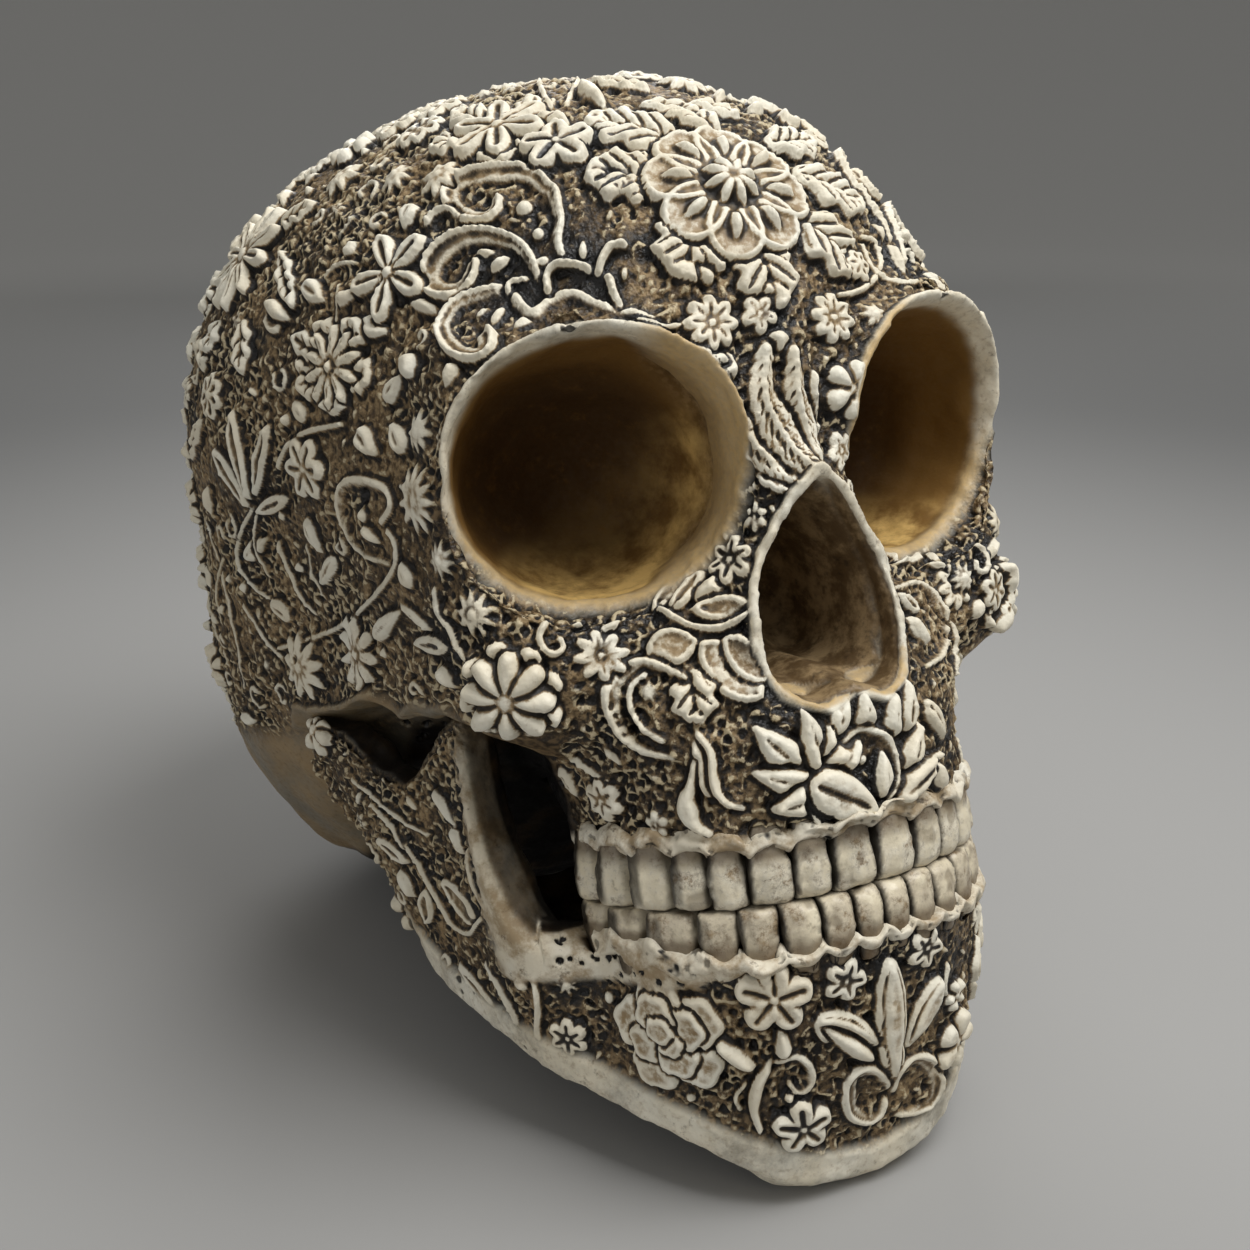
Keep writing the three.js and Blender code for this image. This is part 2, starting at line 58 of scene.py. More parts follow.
# Sides of the floor's dish, and steps of its sweep.
DISH_SIDES, DISH_STEPS = 96, 16

# The camera, as fitted to landmarks read in the photograph, the photograph's width in pixels, and
# about how many of its pixels a millimetre on the face takes.
PHOTO_WIDTH = 1250
PIXELS_PER_MM = 5.9
FOCAL_PIXELS = 1593.2
SENSOR_WIDTH = 36.0
CAMERA_PLACE = Vector((-0.1427, -0.278, 0.1826))
CAMERA_BACK = Vector((-0.4493, -0.8251, 0.3424)).normalized()
CAMERA_RIGHT = Vector((0, 0, 1)).cross(CAMERA_BACK).normalized()
CAMERA_UP = CAMERA_BACK.cross(CAMERA_RIGHT)

# The resting skull is the upright one tipped back about the ear line. Millimetres.
REST_PITCH = math.radians(17.4)
REST_SHIFT = 4.44
REST_DROP = 81.0

# Eye sockets, nose opening and the hollows inside the cheekbones of the upright skull, in millimetres.
SOCKET_PLACE = (31.5, -76.5, 17.0)
SOCKET_HALF_WIDTH = 22.8
SOCKET_HALF_HEIGHT = 21.5
SOCKET_DEPTH = 31.0
SOCKET_TURN = math.radians(20)
SOCKET_TIP = math.radians(16)
SOCKET_INWARD = math.radians(16)
SOCKET_SQUARENESS = 2.1
NOSE_HALF_WIDTH = 12.5
NOSE_TOP = 11.0
NOSE_BOTTOM = -23.0
NOSE_WIDTH_SHARES = (0, 0.3, 0.62, 0.9, 1, 0.84, 0.42, 0.12)
NOSE_HEIGHT_SHARES = (1, 0.82, 0.5, 0.1, -0.45, -0.85, -1, -0.9)
FOSSA_PLACE = (38.0, -38.0)
FOSSA_HALF = (11.0, 20.0)
FOSSA_TURN = math.radians(14)

# Gums and teeth of the upright skull, in millimetres, with turns in radians. GUM_PROFILE is how far the roll
# of a gum stands out, from its root to its edge, and GUM_HEIGHTS how high it is in front and at the rear.
UPPER_GUM, BITE, LOWER_GUM = -45.0, -54.0, -61.5
GUM_POINT = 1.5
TOOTH_SWELL = 0.15
TOOTH_SPREAD = 0.4
GUM_COLLAR = 0.4
GUM_REAR = 0.6
GUM_STEPS = 240
GUM_HEIGHTS = {"upper_": (3.0, 3.6), "lower_": (2.4, 5.0)}
GUM_ZONE = -62.6
GUM_PROFILE = (-0.9, 0.1, 0.45, 0.7, 0.85, 0.9, 0.75, -0.5)
GUM_LEVELS = {"upper_": ((0, 0.1, 0.35, 0.5, 0.8, 1.1), (-44.0, -44.6, -45.2, -44.4, -43.9, -44.2)),
              "lower_": ((0, 0.35, 0.46, 0.6, 0.75, 1.1), (-61.4, -61.9, -61.2, -59.8, -58.4, -57.2))}
ROW_CENTRE = 36.0
JAW_BORDER = [
    (0, -79, -109), (14, -78.6, -106), (23, -75.4, -101), (31, -68, -95), (37, -58, -90), (42, -48, -85),
    (46, -38, -81), (49.5, -26, -76), (50.5, -17, -71), (50, -11, -66), (51, -6, -54),
]

# Ornament on the seen side, by pixels read in the photograph.
# A flower: its middle, the tip of one petal, number of petals, kind and height in millimetres.
CRANIUM_FLOWERS = [
    (730, 182, 737, 258, 8, "layered", 3.6), (556, 141, 554, 120, 5, "star", 3.2),
    (497, 124, 498, 101, 6, "slim", 3.0), (437, 172, 452, 182, 7, "daisy", 1.8),
    (392, 172, 374, 186, 8, "daisy", 2.2), (420, 112, 436, 124, 7, "daisy", 2.0),
    (387, 272, 379, 234, 5, "petalled", 3.0), (243, 254, 222, 310, 10, "slim", 3.0),
    (297, 233, 308, 246, 6, "daisy", 2.4), (326, 366, 355, 352, 10, "slim", 2.8),
    (410, 500, 428, 482, 11, "daisy", 2.0), (434, 562, 420, 548, 9, "daisy", 1.8),
    (412, 432, 403, 413, 8, "daisy", 1.9), (300, 470, 282, 468, 6, "star", 2.0),
    (298, 668, 284, 682, 9, "daisy", 2.2), (352, 655, 346, 684, 9, "slim", 2.4),
    (470, 615, 452, 630, 9, "daisy", 2.0), (603, 655, 576, 660, 8, "star", 2.0),
    (507, 700, 526, 752, 8, "plump", 2.2), (507, 700, 508, 744, 8, "plump", 3.4),
    (713, 321, 741, 322, 8, "rimmed", 2.6), (762, 312, 748, 296, 5, "star", 2.0),
    (836, 316, 858, 320, 8, "rimmed", 2.4), (752, 516, 752, 500, 6, "star", 2.0),
    (728, 558, 714, 546, 6, "star", 2.2), (648, 692, 648, 676, 7, "daisy", 1.6),
    (655, 826, 652, 811, 5, "star", 1.8), (603, 800, 620, 812, 6, "rimmed", 2.4),
    (967, 577, 967, 598, 9, "daisy", 2.2), (1000, 590, 998, 612, 6, "rimmed", 1.8),
    (205, 395, 208, 420, 7, "hollow", 2.2), (862, 262, 872, 278, 6, "hollow", 2.0),
]

# A leaf: its root, its tip, its width in millimetres, kind and height.
CRANIUM_LEAVES = [
    (672, 176, 584, 168, 11.5, "veined", 2.8), (684, 140, 584, 116, 11.0, "veined", 2.8),
    (700, 204, 684, 278, 12.0, "veined", 2.8), (752, 222, 780, 308, 11.0, "veined", 2.8),
    (796, 210, 864, 270, 11.0, "veined", 2.8), (796, 168, 866, 206, 10.5, "veined", 2.8),
    (720, 130, 668, 96, 8.0, "veined", 2.6), (770, 140, 815, 140, 8.0, "veined", 2.6),
    (497, 124, 450, 103, 7.5, "veined", 2.7), (470, 128, 427, 147, 7.0, "veined", 2.7),
    (497, 128, 500, 156, 8.5, "veined", 2.7), (520, 124, 568, 116, 7.0, "veined", 2.7),
    (505, 116, 552, 92, 7.5, "veined", 2.7), (582, 258, 582, 234, 1.8, "drop", 2.0),
    (488, 270, 508, 252, 2.4, "drop", 2.4), (464, 256, 494, 247, 2.6, "drop", 2.2),
    (474, 311, 487, 302, 1.8, "drop", 1.8), (490, 317, 504, 300, 2.0, "drop", 1.9),
    (510, 321, 546, 302, 2.0, "drop", 2.2), (624, 276, 625, 260, 1.4, "drop", 1.8),
    (245, 205, 262, 168, 5.0, "veined", 2.4), (262, 215, 290, 180, 5.5, "veined", 2.4),
    (196, 372, 204, 330, 5.0, "veined", 2.2), (186, 460, 196, 420, 4.5, "veined", 2.0),
    (206, 470, 188, 500, 5.0, "blade", 2.0), (232, 520, 210, 548, 4.5, "blade", 2.0),
    (300, 520, 318, 560, 4.0, "blade", 2.0), (240, 560, 262, 540, 4.0, "blade", 1.8),
    (286, 620, 262, 600, 4.5, "blade", 1.8), (330, 560, 312, 590, 4.0, "blade", 1.8),
    (370, 640, 396, 612, 4.0, "blade", 2.0), (405, 590, 392, 560, 4.0, "blade", 1.8),
    (398, 452, 386, 420, 4.5, "blade", 2.0), (380, 400, 396, 372, 4.5, "blade", 2.0),
    (352, 430, 372, 456, 5.0, "blade", 2.0), (300, 420, 286, 400, 4.0, "blade", 1.8),
    (358, 320, 384, 332, 4.5, "blade", 2.0), (300, 282, 320, 300, 4.5, "blade", 2.0),
    (340, 186, 362, 204, 5.0, "blade", 2.0), (300, 190, 322, 208, 5.0, "blade", 2.2),
    (410, 200, 398, 226, 4.5, "blade", 2.0), (352, 240, 336, 252, 3.5, "blade", 1.8),
    (326, 360, 312, 320, 6.5, "veined", 2.0), (335, 352, 356, 318, 7.0, "veined", 2.4),
    (316, 370, 292, 388, 7.0, "veined", 2.0), (328, 382, 328, 416, 7.5, "veined", 2.2),
    (316, 362, 288, 352, 6.0, "veined", 1.9), (342, 370, 366, 378, 6.5, "veined", 1.9),
    (318, 358, 286, 334, 5.0, "veined", 1.8), (262, 300, 272, 330, 5.0, "hollow", 2.2),
    (238, 318, 238, 374, 6.5, "veined", 2.2), (276, 250, 288, 305, 5.0, "veined", 2.0),
    (275, 222, 312, 200, 6.0, "veined", 2.2), (280, 190, 325, 158, 6.0, "veined", 2.2),
    (262, 300, 283, 318, 4.0, "drop", 2.0), (215, 318, 200, 352, 5.5, "veined", 2.2),
    (330, 300, 352, 292, 3.5, "drop", 1.9), (400, 355, 408, 376, 5.0, "drop", 2.0),
    (452, 358, 440, 388, 3.4, "drop", 2.0), (404, 290, 432, 308, 4.0, "drop", 1.8),
    (246, 512, 208, 448, 4.5, "hollow", 2.2), (246, 505, 226, 408, 4.5, "hollow", 2.4),
    (250, 500, 262, 424, 4.0, "hollow", 2.2), (250, 515, 282, 500, 3.6, "hollow", 2.0),
    (355, 528, 374, 546, 2.6, "drop", 1.8), (408, 645, 442, 650, 3.6, "hollow", 2.2),
    (434, 668, 448, 692, 3.2, "drop", 2.2), (392, 606, 426, 634, 2.6, "hollow", 2.0),
    (598, 641, 622, 614, 2.6, "drop", 2.0), (650, 604, 688, 566, 5.0, "hollow", 2.4),
    (668, 612, 700, 566, 4.0, "hollow", 2.6), (700, 606, 716, 570, 4.5, "drop", 2.2),
    (698, 640, 646, 650, 7.0, "hollow", 2.8), (700, 640, 762, 698, 8.0, "hollow", 2.8),
    (722, 634, 768, 680, 6.0, "hollow", 2.2), (690, 668, 697, 724, 7.5, "veined", 2.8),
    (768, 602, 752, 572, 3.4, "drop", 2.2), (690, 606, 752, 606, 5.0, "hollow", 2.4),
    (714, 800, 694, 722, 4.6, "blade", 2.6), (812, 782, 750, 724, 6.4, "blade", 2.9),
    (826, 776, 800, 704, 5.2, "blade", 2.9), (834, 776, 830, 696, 4.6, "blade", 2.9),
    (828, 786, 864, 726, 5.4, "blade", 3.0), (822, 790, 748, 772, 5.4, "blade", 2.9),
    (830, 792, 768, 812, 5.6, "blade", 3.0), (816, 786, 814, 836, 5.0, "blade", 3.0),
    (808, 782, 880, 810, 8.0, "blade", 3.1), (838, 735, 836, 676, 4.6, "blade", 2.4),
    (868, 740, 860, 686, 4.6, "blade", 2.4), (892, 740, 880, 682, 4.6, "blade", 2.4),
    (908, 732, 904, 672, 4.2, "blade", 2.4), (900, 800, 920, 716, 5.2, "blade", 2.8),
    (896, 798, 944, 748, 5.0, "blade", 2.6), (886, 800, 884, 742, 4.4, "blade", 2.5),
    (926, 700, 946, 742, 4.0, "blade", 2.2), (942, 790, 936, 760, 4.0, "drop", 2.0),
    (900, 560, 936, 530, 2.6, "hollow", 2.0), (902, 556, 892, 528, 2.6, "hollow", 2.0),
    (925, 548, 942, 556, 2.4, "drop", 1.8), (915, 615, 932, 645, 4.0, "drop", 2.0),
    (905, 590, 925, 608, 4.0, "hollow", 2.0), (990, 560, 1000, 536, 3.0, "drop", 2.0),
    (985, 600, 975, 622, 4.0, "drop", 1.8), (578, 80, 606, 104, 4.0, "drop", 2.4),
    (590, 74, 650, 84, 5.0, "veined", 2.4), (640, 98, 702, 106, 5.0, "veined", 2.4),
    (690, 96, 742, 112, 5.0, "veined", 2.4), (735, 380, 728, 345, 4.0, "drop", 1.8),
    (690, 345, 735, 360, 4.0, "drop", 1.8), (770, 335, 800, 345, 4.0, "drop", 1.6),
    (715, 280, 700, 262, 3.0, "drop", 1.6),
]

# A ridge: the points that it runs through, its width at its start, middle and end and its height, in
# millimetres, and 1 or -1 if it's a ribbon, rolled up on its left or right.
CRANIUM_RIDGES = [
    ([(494, 197), (491, 207), (480, 213), (464, 211), (451, 203), (447, 191), (452, 181), (466, 174),
      (485, 170), (505, 168), (522, 168), (534, 173), (543, 182), (551, 188), (554, 200), (557, 216),
      (555, 236), (561, 258)], 3.0, 4.2, 1.8, 3.3, 1),
    ([(470, 262), (467, 272), (460, 283), (448, 288), (435, 287), (427, 279), (429, 262), (439, 248),
      (455, 237), (475, 232), (497, 234), (514, 241), (526, 254), (534, 271), (546, 285)], 3.2, 4.4, 1.8,
      3.3, 1),
    ([(484, 332), (482, 346), (464, 350), (448, 342), (440, 326), (446, 308), (461, 296), (480, 290),
      (496, 286), (509, 291), (521, 304), (534, 308), (546, 299), (560, 292), (576, 291), (600, 300),
      (626, 306), (646, 310), (664, 322)], 4.2, 2.2, 1.8, 3.2, 1),
    ([(547, 288), (546, 272), (556, 262), (576, 263), (597, 270), (608, 275), (613, 288), (620, 300)], 1.6,
      1.9, 1.4, 3.2),
    ([(598, 270), (602, 256), (610, 244), (623, 241)], 1.6, 1.9, 1.8, 3.2),
    ([(506, 288), (508, 279), (524, 275)], 1.2, 1.2, 0.8, 2.4),
    ([(424, 218), (432, 209), (446, 205), (456, 212)], 1.8, 1.6, 0.8, 2.6),
    ([(537, 70), (541, 84), (547, 96)], 1.0, 1.2, 0.8, 2.4),
    ([(578, 74), (571, 84), (566, 98)], 1.2, 1.0, 0.6, 2.2),
    ([(272, 470), (277, 452), (290, 438), (308, 430), (334, 424)], 0.9, 1.3, 1.0, 1.9),
    ([(374, 521), (383, 506), (378, 491), (362, 484), (345, 483), (335, 490), (333, 506), (336, 522),
      (343, 540), (356, 555), (375, 563), (388, 568)], 2.2, 2.6, 1.2, 2.4, -1),
    ([(380, 532), (388, 543), (390, 560), (382, 580), (370, 595), (357, 610), (344, 622), (328, 632),
      (300, 642), (270, 652)], 1.2, 1.1, 0.8, 1.9),
    ([(246, 512), (231, 545), (234, 570), (250, 590), (264, 600)], 0.9, 1.2, 0.8, 1.9),
    ([(272, 546), (285, 575), (296, 600), (310, 616)], 1.0, 1.2, 0.8, 1.9),
    ([(250, 518), (250, 550), (263, 580)], 0.8, 1.0, 0.7, 1.6),
    ([(237, 607), (250, 626), (262, 645), (276, 660)], 0.8, 1.2, 0.8, 1.8),
    ([(200, 520), (212, 560), (222, 600), (232, 650), (240, 690)], 0.8, 1.1, 0.8, 1.7),
    ([(185, 530), (196, 570), (206, 620), (222, 668)], 0.8, 1.0, 0.8, 1.6),
    ([(216, 560), (210, 590), (214, 625)], 0.8, 1.0, 0.7, 1.6),
    ([(300, 548), (306, 575), (318, 600)], 0.8, 1.0, 0.7, 1.6),
    ([(428, 590), (432, 615), (447, 637), (455, 655), (463, 666)], 1.0, 1.3, 1.0, 2.2),
    ([(548, 618), (540, 634), (545, 649), (557, 654), (566, 646), (562, 637)], 1.2, 1.4, 1.0, 2.4),
    ([(658, 604), (688, 622), (718, 626), (744, 614), (757, 600)], 1.2, 1.6, 1.0, 2.6),
    ([(672, 758), (642, 751), (620, 732), (611, 704), (617, 682), (638, 664), (662, 668), (684, 678)], 1.4,
      3.6, 1.6, 2.8, 1),
    ([(662, 742), (640, 728), (629, 706), (632, 686), (645, 674)], 1.0, 1.3, 1.0, 2.2),
    ([(768, 484), (746, 489), (731, 505), (724, 526), (731, 544), (750, 550), (770, 542), (780, 524),
      (770, 506)], 1.4, 2.6, 1.2, 2.6, -1),
    ([(698, 735), (710, 752), (713, 776), (717, 792), (727, 804), (743, 809)], 1.2, 2.2, 0.8, 2.8),
    ([(694, 762), (690, 788), (686, 803), (692, 821), (707, 832), (729, 836)], 0.8, 4.0, 0.9, 2.8),
    ([(846, 742), (862, 731), (882, 736), (894, 752), (898, 778), (890, 800)], 1.2, 2.6, 1.4, 2.6, 1),
    ([(904, 584), (925, 580), (943, 598), (951, 624), (945, 652), (930, 664)], 1.2, 3.0, 1.2, 2.4, 1),
    ([(880, 545), (905, 553), (925, 546), (950, 538)], 0.8, 1.0, 0.8, 1.8),
    ([(845, 292), (868, 285), (885, 262), (880, 240), (868, 232)], 0.8, 1.2, 0.8, 2.2),
    ([(868, 240), (880, 268), (905, 277), (930, 272)], 0.8, 1.2, 0.8, 2.0),
    ([(560, 752), (590, 772), (612, 790), (618, 806)], 1.0, 1.4, 0.8, 2.2),
    ([(318, 275), (330, 262), (348, 258)], 0.8, 1.2, 0.8, 1.8),
    ([(332, 280), (330, 320)], 0.8, 0.9, 0.6, 1.6),
    ([(330, 232), (346, 213), (348, 210)], 0.8, 1.0, 0.6, 1.4),
    ([(640, 312), (665, 322), (688, 318)], 0.8, 1.2, 0.8, 2.0),
]

# A feather: its points and width. Pearls, soot, holes and pores: their middle, and radius in millimetres.
CRANIUM_FEATHERS = [
    ([(818, 478), (793, 482), (766, 476), (745, 456)], 4.4),
    ([(829, 466), (820, 440), (816, 410), (818, 374)], 4.6),
    ([(822, 474), (795, 468), (764, 452), (742, 424), (731, 386)], 6.4),
    ([(827, 466), (812, 438), (800, 400), (797, 350)], 6.4),
    ([(824, 470), (800, 454), (779, 426), (765, 392), (768, 348)], 7.0),
]
CRANIUM_PEARLS = [
    (522, 204, 1.5), (536, 229, 1.1), (541, 258, 1.1), (278, 250, 0.9), (378, 655, 1.0), (580, 620, 0.9),
    (512, 672, 1.8), (276, 519, 0.9), (357, 517, 1.2), (314, 473, 0.8), (324, 318, 0.8), (347, 290, 0.8),
    (558, 115, 0.8), (864, 760, 0.9), (838, 818, 1.0), (400, 485, 0.8),
]
CRANIUM_SOOT = [
    (430, 235, 4), (470, 262, 4), (512, 262, 4), (522, 290, 5), (500, 305, 4), (590, 278, 4), (575, 245, 4),
    (540, 215, 4), (645, 240, 3), (610, 175, 3), (590, 135, 3), (540, 150, 4), (420, 118, 3), (640, 312, 3),
    (660, 325, 3), (352, 500, 3), (435, 640, 4), (450, 668, 4), (475, 620, 4), (590, 620, 5), (645, 605, 4),
    (745, 515, 4), (725, 560, 4), (755, 625, 4), (780, 700, 4), (765, 715, 3), (880, 780, 4), (860, 815, 4),
    (820, 815, 4), (960, 545, 6), (985, 540, 6), (1000, 400, 4), (1010, 510, 5), (950, 730, 5),
    (930, 780, 4), (785, 320, 3), (720, 360, 3), (250, 340, 3), (185, 420, 4), (410, 440, 3), (960, 790, 4),
    (600, 740, 3),
]

CRANIUM_HOLES = [
    (568, 328, 1.2), (355, 497, 1.4),
]
CRANIUM_PORES = [
    (605, 728, 6), (440, 715, 6), (560, 765, 4), (480, 770, 3), (700, 712, 3), (590, 835, 4), (930, 690, 3),
    (300, 640, 4), (330, 600, 4), (620, 190, 5), (350, 200, 4), (470, 640, 3), (640, 775, 4),
]
JAW_PORES = [
    (640, 972, 4), (690, 972, 3), (600, 950, 4), (560, 950, 3), (470, 1000, 4), (520, 1060, 3),
    (740, 965, 3), (600, 1000, 3),
]

JAW_FLOWERS = [
    (666, 1036, 668, 1092, 6, "rose", 3.0), (774, 998, 772, 962, 5, "open", 2.8),
    (846, 981, 854, 958, 5, "open", 2.2), (926, 948, 934, 926, 5, "open", 2.2),
    (803, 1127, 800, 1102, 5, "open", 2.6), (955, 1040, 955, 1062, 5, "plump", 2.2),
    (956, 995, 952, 1012, 5, "plump", 1.8), (566, 985, 580, 994, 8, "daisy", 2.0),
    (568, 1038, 586, 1050, 6, "rimmed", 2.4),
]
JAW_LEAVES = [
    (893, 1094, 890, 958, 6.6, "inlaid", 3.0), (880, 1046, 817, 1020, 6.8, "inlaid", 2.6),
    (876, 1062, 822, 1026, 3.6, "drop", 2.2), (906, 1050, 943, 976, 6.4, "inlaid", 2.6),
    (756, 1070, 708, 1036, 3.6, "drop", 2.6), (786, 1068, 781, 1026, 3.2, "drop", 2.6),
    (440, 880, 478, 930, 5.5, "hollow", 2.2), (374, 838, 408, 864, 3.5, "hollow", 2.0),
    (424, 890, 426, 924, 4.5, "hollow", 2.2), (512, 972, 526, 992, 3.4, "drop", 2.0),
    (456, 962, 496, 1012, 3.6, "hollow", 2.0), (446, 980, 480, 1026, 3.0, "hollow", 1.8),
    (448, 816, 462, 858, 3.0, "drop", 1.8), (418, 940, 440, 985, 4.0, "drop", 1.9),
    (398, 870, 414, 900, 4.0, "drop", 1.8), (430, 790, 455, 830, 3.0, "drop", 1.6),
    (944, 1080, 962, 1092, 4.0, "drop", 1.8),
]
JAW_RIDGES = [
    ([(466, 850), (468, 872), (476, 896), (492, 922), (512, 950), (530, 976), (537, 1002), (537, 1032),
      (545, 1050)], 1.0, 1.5, 1.4, 2.4),
    ([(482, 868), (490, 893), (508, 922), (530, 948), (560, 965)], 0.8, 1.2, 1.0, 2.0),
    ([(398, 842), (412, 858), (424, 880), (438, 905), (450, 925), (468, 934), (478, 920)], 0.9, 1.3, 1.0,
      2.0),
    ([(368, 806), (388, 826), (402, 850)], 0.8, 1.2, 0.8, 1.8),
    ([(350, 780), (372, 800), (400, 822), (426, 836)], 0.8, 1.1, 0.8, 1.7),
    ([(438, 962), (444, 956), (448, 964), (442, 970), (437, 965)], 0.9, 0.9, 0.9, 2.0),
    ([(484, 965), (498, 990), (512, 1014), (522, 1040)], 1.2, 1.6, 1.2, 2.0),
    ([(760, 1132), (754, 1108), (759, 1084), (772, 1064)], 1.4, 2.6, 1.6, 2.6),
    ([(778, 1066), (797, 1060), (810, 1070), (811, 1086), (800, 1094), (792, 1087)], 1.6, 2.2, 1.4, 2.6, 1),
    ([(890, 1090), (880, 1077), (866, 1072), (854, 1079), (850, 1096), (854, 1113), (867, 1120),
      (880, 1115), (886, 1103)], 1.8, 3.8, 1.8, 2.8, -1),
    ([(896, 1090), (904, 1070), (917, 1060), (931, 1065), (938, 1081), (932, 1101), (915, 1112),
      (900, 1115)], 1.8, 3.8, 1.8, 2.8, 1),
    ([(740, 1112), (735, 1100), (745, 1088)], 0.8, 1.0, 0.6, 1.6),
    ([(950, 965), (946, 990), (955, 1010)], 1.0, 1.3, 1.0, 1.8),
]
JAW_PEARLS = [
    (790, 1100, 0.9), (690, 1100, 0.9), (620, 980, 0.8),
]
JAW_SOOT = [
    (850, 960, 5), (885, 950, 5), (925, 945, 6), (955, 960, 5), (790, 1105, 4), (720, 985, 3),
    (800, 1120, 3), (570, 990, 4), (575, 1045, 4), (955, 1075, 4), (430, 870, 3), (470, 910, 3),
    (500, 1010, 3), (460, 765, 4), (455, 800, 4), (410, 850, 3),
]

# Width of the groove round ornament that lies over other ornament, in millimetres, and the rings of the rose:
# their radius and the size of their petals as shares of its own, and how many petals.
GROOVE = 0.55
ROSE_RINGS = ((0.6, 0.44, 5), (0.36, 0.36, 4), (0.12, 0.24, 2))

# Ornament farther to the right than this, in metres, is also laid in mirror image on the other side.
MIRROR = np.array([-1.0, 1.0, 1.0])
MIRROR_FROM = -0.028

# Share of the small filling that is kept on the seen side, and how far out its rays start, in metres.
SEEN_FILL = 0.5
FILL_REACH = 0.2

# Where rays towards a row of teeth start, and the middle of the rows for their order, in millimetres.
RAY_START = 80
ORDER_CENTRE = 40

# What the finish reads of each point: how far it belongs to each of these.
ZONES = ("bowl", "depth", "floor", "stain", "rim", "nose", "high", "fossa", "nape", "gum", "carved")

# Mixing numbers of the lattice that drift and pitting draw from.
HASH_X, HASH_Y, HASH_Z, HASH_SEED = 73856093, 19349663, 83492791, 50331653
HASH_MIX, HASH_MASK = 1274126177, 0xffffffff

# How each kind of petal or leaf is shaped: root and blunt are how fast it widens and closes, dish, vein, ribs
# and inlay are depths as shares of its height, and a dish below zero is a bulge.
PETAL_KINDS = {
    "round": dict(root=0.8, blunt=0.4, dish=0.45, vein=0.0, ribs=0.0, lobes=0.0),
    "veined": dict(root=0.55, blunt=0.5, dish=0.08, vein=0.6, ribs=0.5, lobes=0.14),
    "hollow": dict(root=0.7, blunt=0.6, dish=0.55, vein=0.0, ribs=0.0, lobes=0.0),
    "drop": dict(root=0.6, blunt=0.8, dish=-0.25, vein=0.0, ribs=0.0, lobes=0.0),
    "slim": dict(root=0.8, blunt=0.5, dish=0.1, vein=0.4, ribs=0.0, lobes=0.0),
    "plump": dict(root=0.9, blunt=0.35, dish=-0.22, vein=0.0, ribs=0.0, lobes=0.0),
    "blade": dict(root=0.5, blunt=0.95, dish=-0.15, vein=0.35, ribs=0.0, lobes=0.0),
    "inlaid": dict(root=0.75, blunt=0.5, dish=0.12, vein=0.0, ribs=0.0, lobes=0.0, inlay=0.6),
}

# Each kind of flower: the kind of its petals, how wide they are, and how far its heart stands out.
FLOWER_KINDS = {
    "star": ("slim", 0.8, 0.5), "slim": ("slim", 0.6, 0.6), "daisy": ("blade", 0.72, 0.8),
    "rimmed": ("slim", 0.9, 0.6), "hollow": ("hollow", 1.0, 0.8), "plump": ("plump", 0.8, 0.9),
    "petalled": ("slim", 0.5, 0.7), "open": ("slim", 0.78, 0.4),
}


def srgb(red, green, blue):
    """A display colour, from 0 to 255, as linear light."""
    return tuple((c / 255 / 12.92) if c <= 10 else ((c / 255 + 0.055) / 1.055) ** 2.4
                 for c in (red, green, blue))


def soft(x, low, high):
    """From 0 at low to 1 at high, with rounded ends."""
    t = np.clip((x - low) / (high - low), 0, 1)
    return t * t * (3 - 2 * t)


def upright(points):
    """Places on the resting skull, in metres, as the upright skull's left, back and up in millimetres."""
    p = np.asarray(points, float) / MM
    y, z = p[:, 1] - REST_SHIFT, p[:, 2] - REST_DROP
    c, s = math.cos(REST_PITCH), math.sin(REST_PITCH)
    return np.stack([p[:, 0], c * y - s * z, s * y + c * z], 1)


def upright_direction(normals):
    c, s = math.cos(REST_PITCH), math.sin(REST_PITCH)
    n = np.asarray(normals, float)
    return np.stack([n[:, 0], c * n[:, 1] - s * n[:, 2], s * n[:, 1] + c * n[:, 2]], 1)


def at_pixel(x, y):
    """The direction in which the camera sees a pixel of the photograph."""
    half = PHOTO_WIDTH / 2
    way = CAMERA_RIGHT * (x - half) / FOCAL_PIXELS - CAMERA_UP * (y - half) / FOCAL_PIXELS - CAMERA_BACK
    return way.normalized()


def resting(p):
    """A place on the upright skull, in millimetres, as the place on the resting skull in metres."""
    x, y, z = p
    c, s = math.cos(REST_PITCH), math.sin(REST_PITCH)
    return Vector((x, c * y + s * z + REST_SHIFT, -s * y + c * z + REST_DROP)) * MM


def read(items, name, count, kind=np.float32):
    """One property of all items, with count numbers in each."""
    values = np.empty(len(items) * count, kind)
    items.foreach_get(name, values)
    return values.reshape(-1, count)


def points_of(mesh):
    return read(mesh.vertices, "co", 3).astype(float)


def normals_of(mesh):
    return read(mesh.vertex_normals, "vector", 3).astype(float)


def edges_of(mesh):
    return read(mesh.edges, "vertices", 2, np.int32)


def move(mesh, places):
    """Moves the points of a mesh to places, in metres."""
    mesh.vertices.foreach_set("co", places.astype(np.float32).ravel())
    mesh.update()


def teeth_of(row):
    return [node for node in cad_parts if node.startswith(row) and node.count("_") > 1]


def tooth_middles(row):
    """The middles of a row's teeth on the upright skull, in millimetres."""
    return upright([(np.array(low) + np.array(high)) / 2 for low, high in map(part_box, teeth_of(row))])


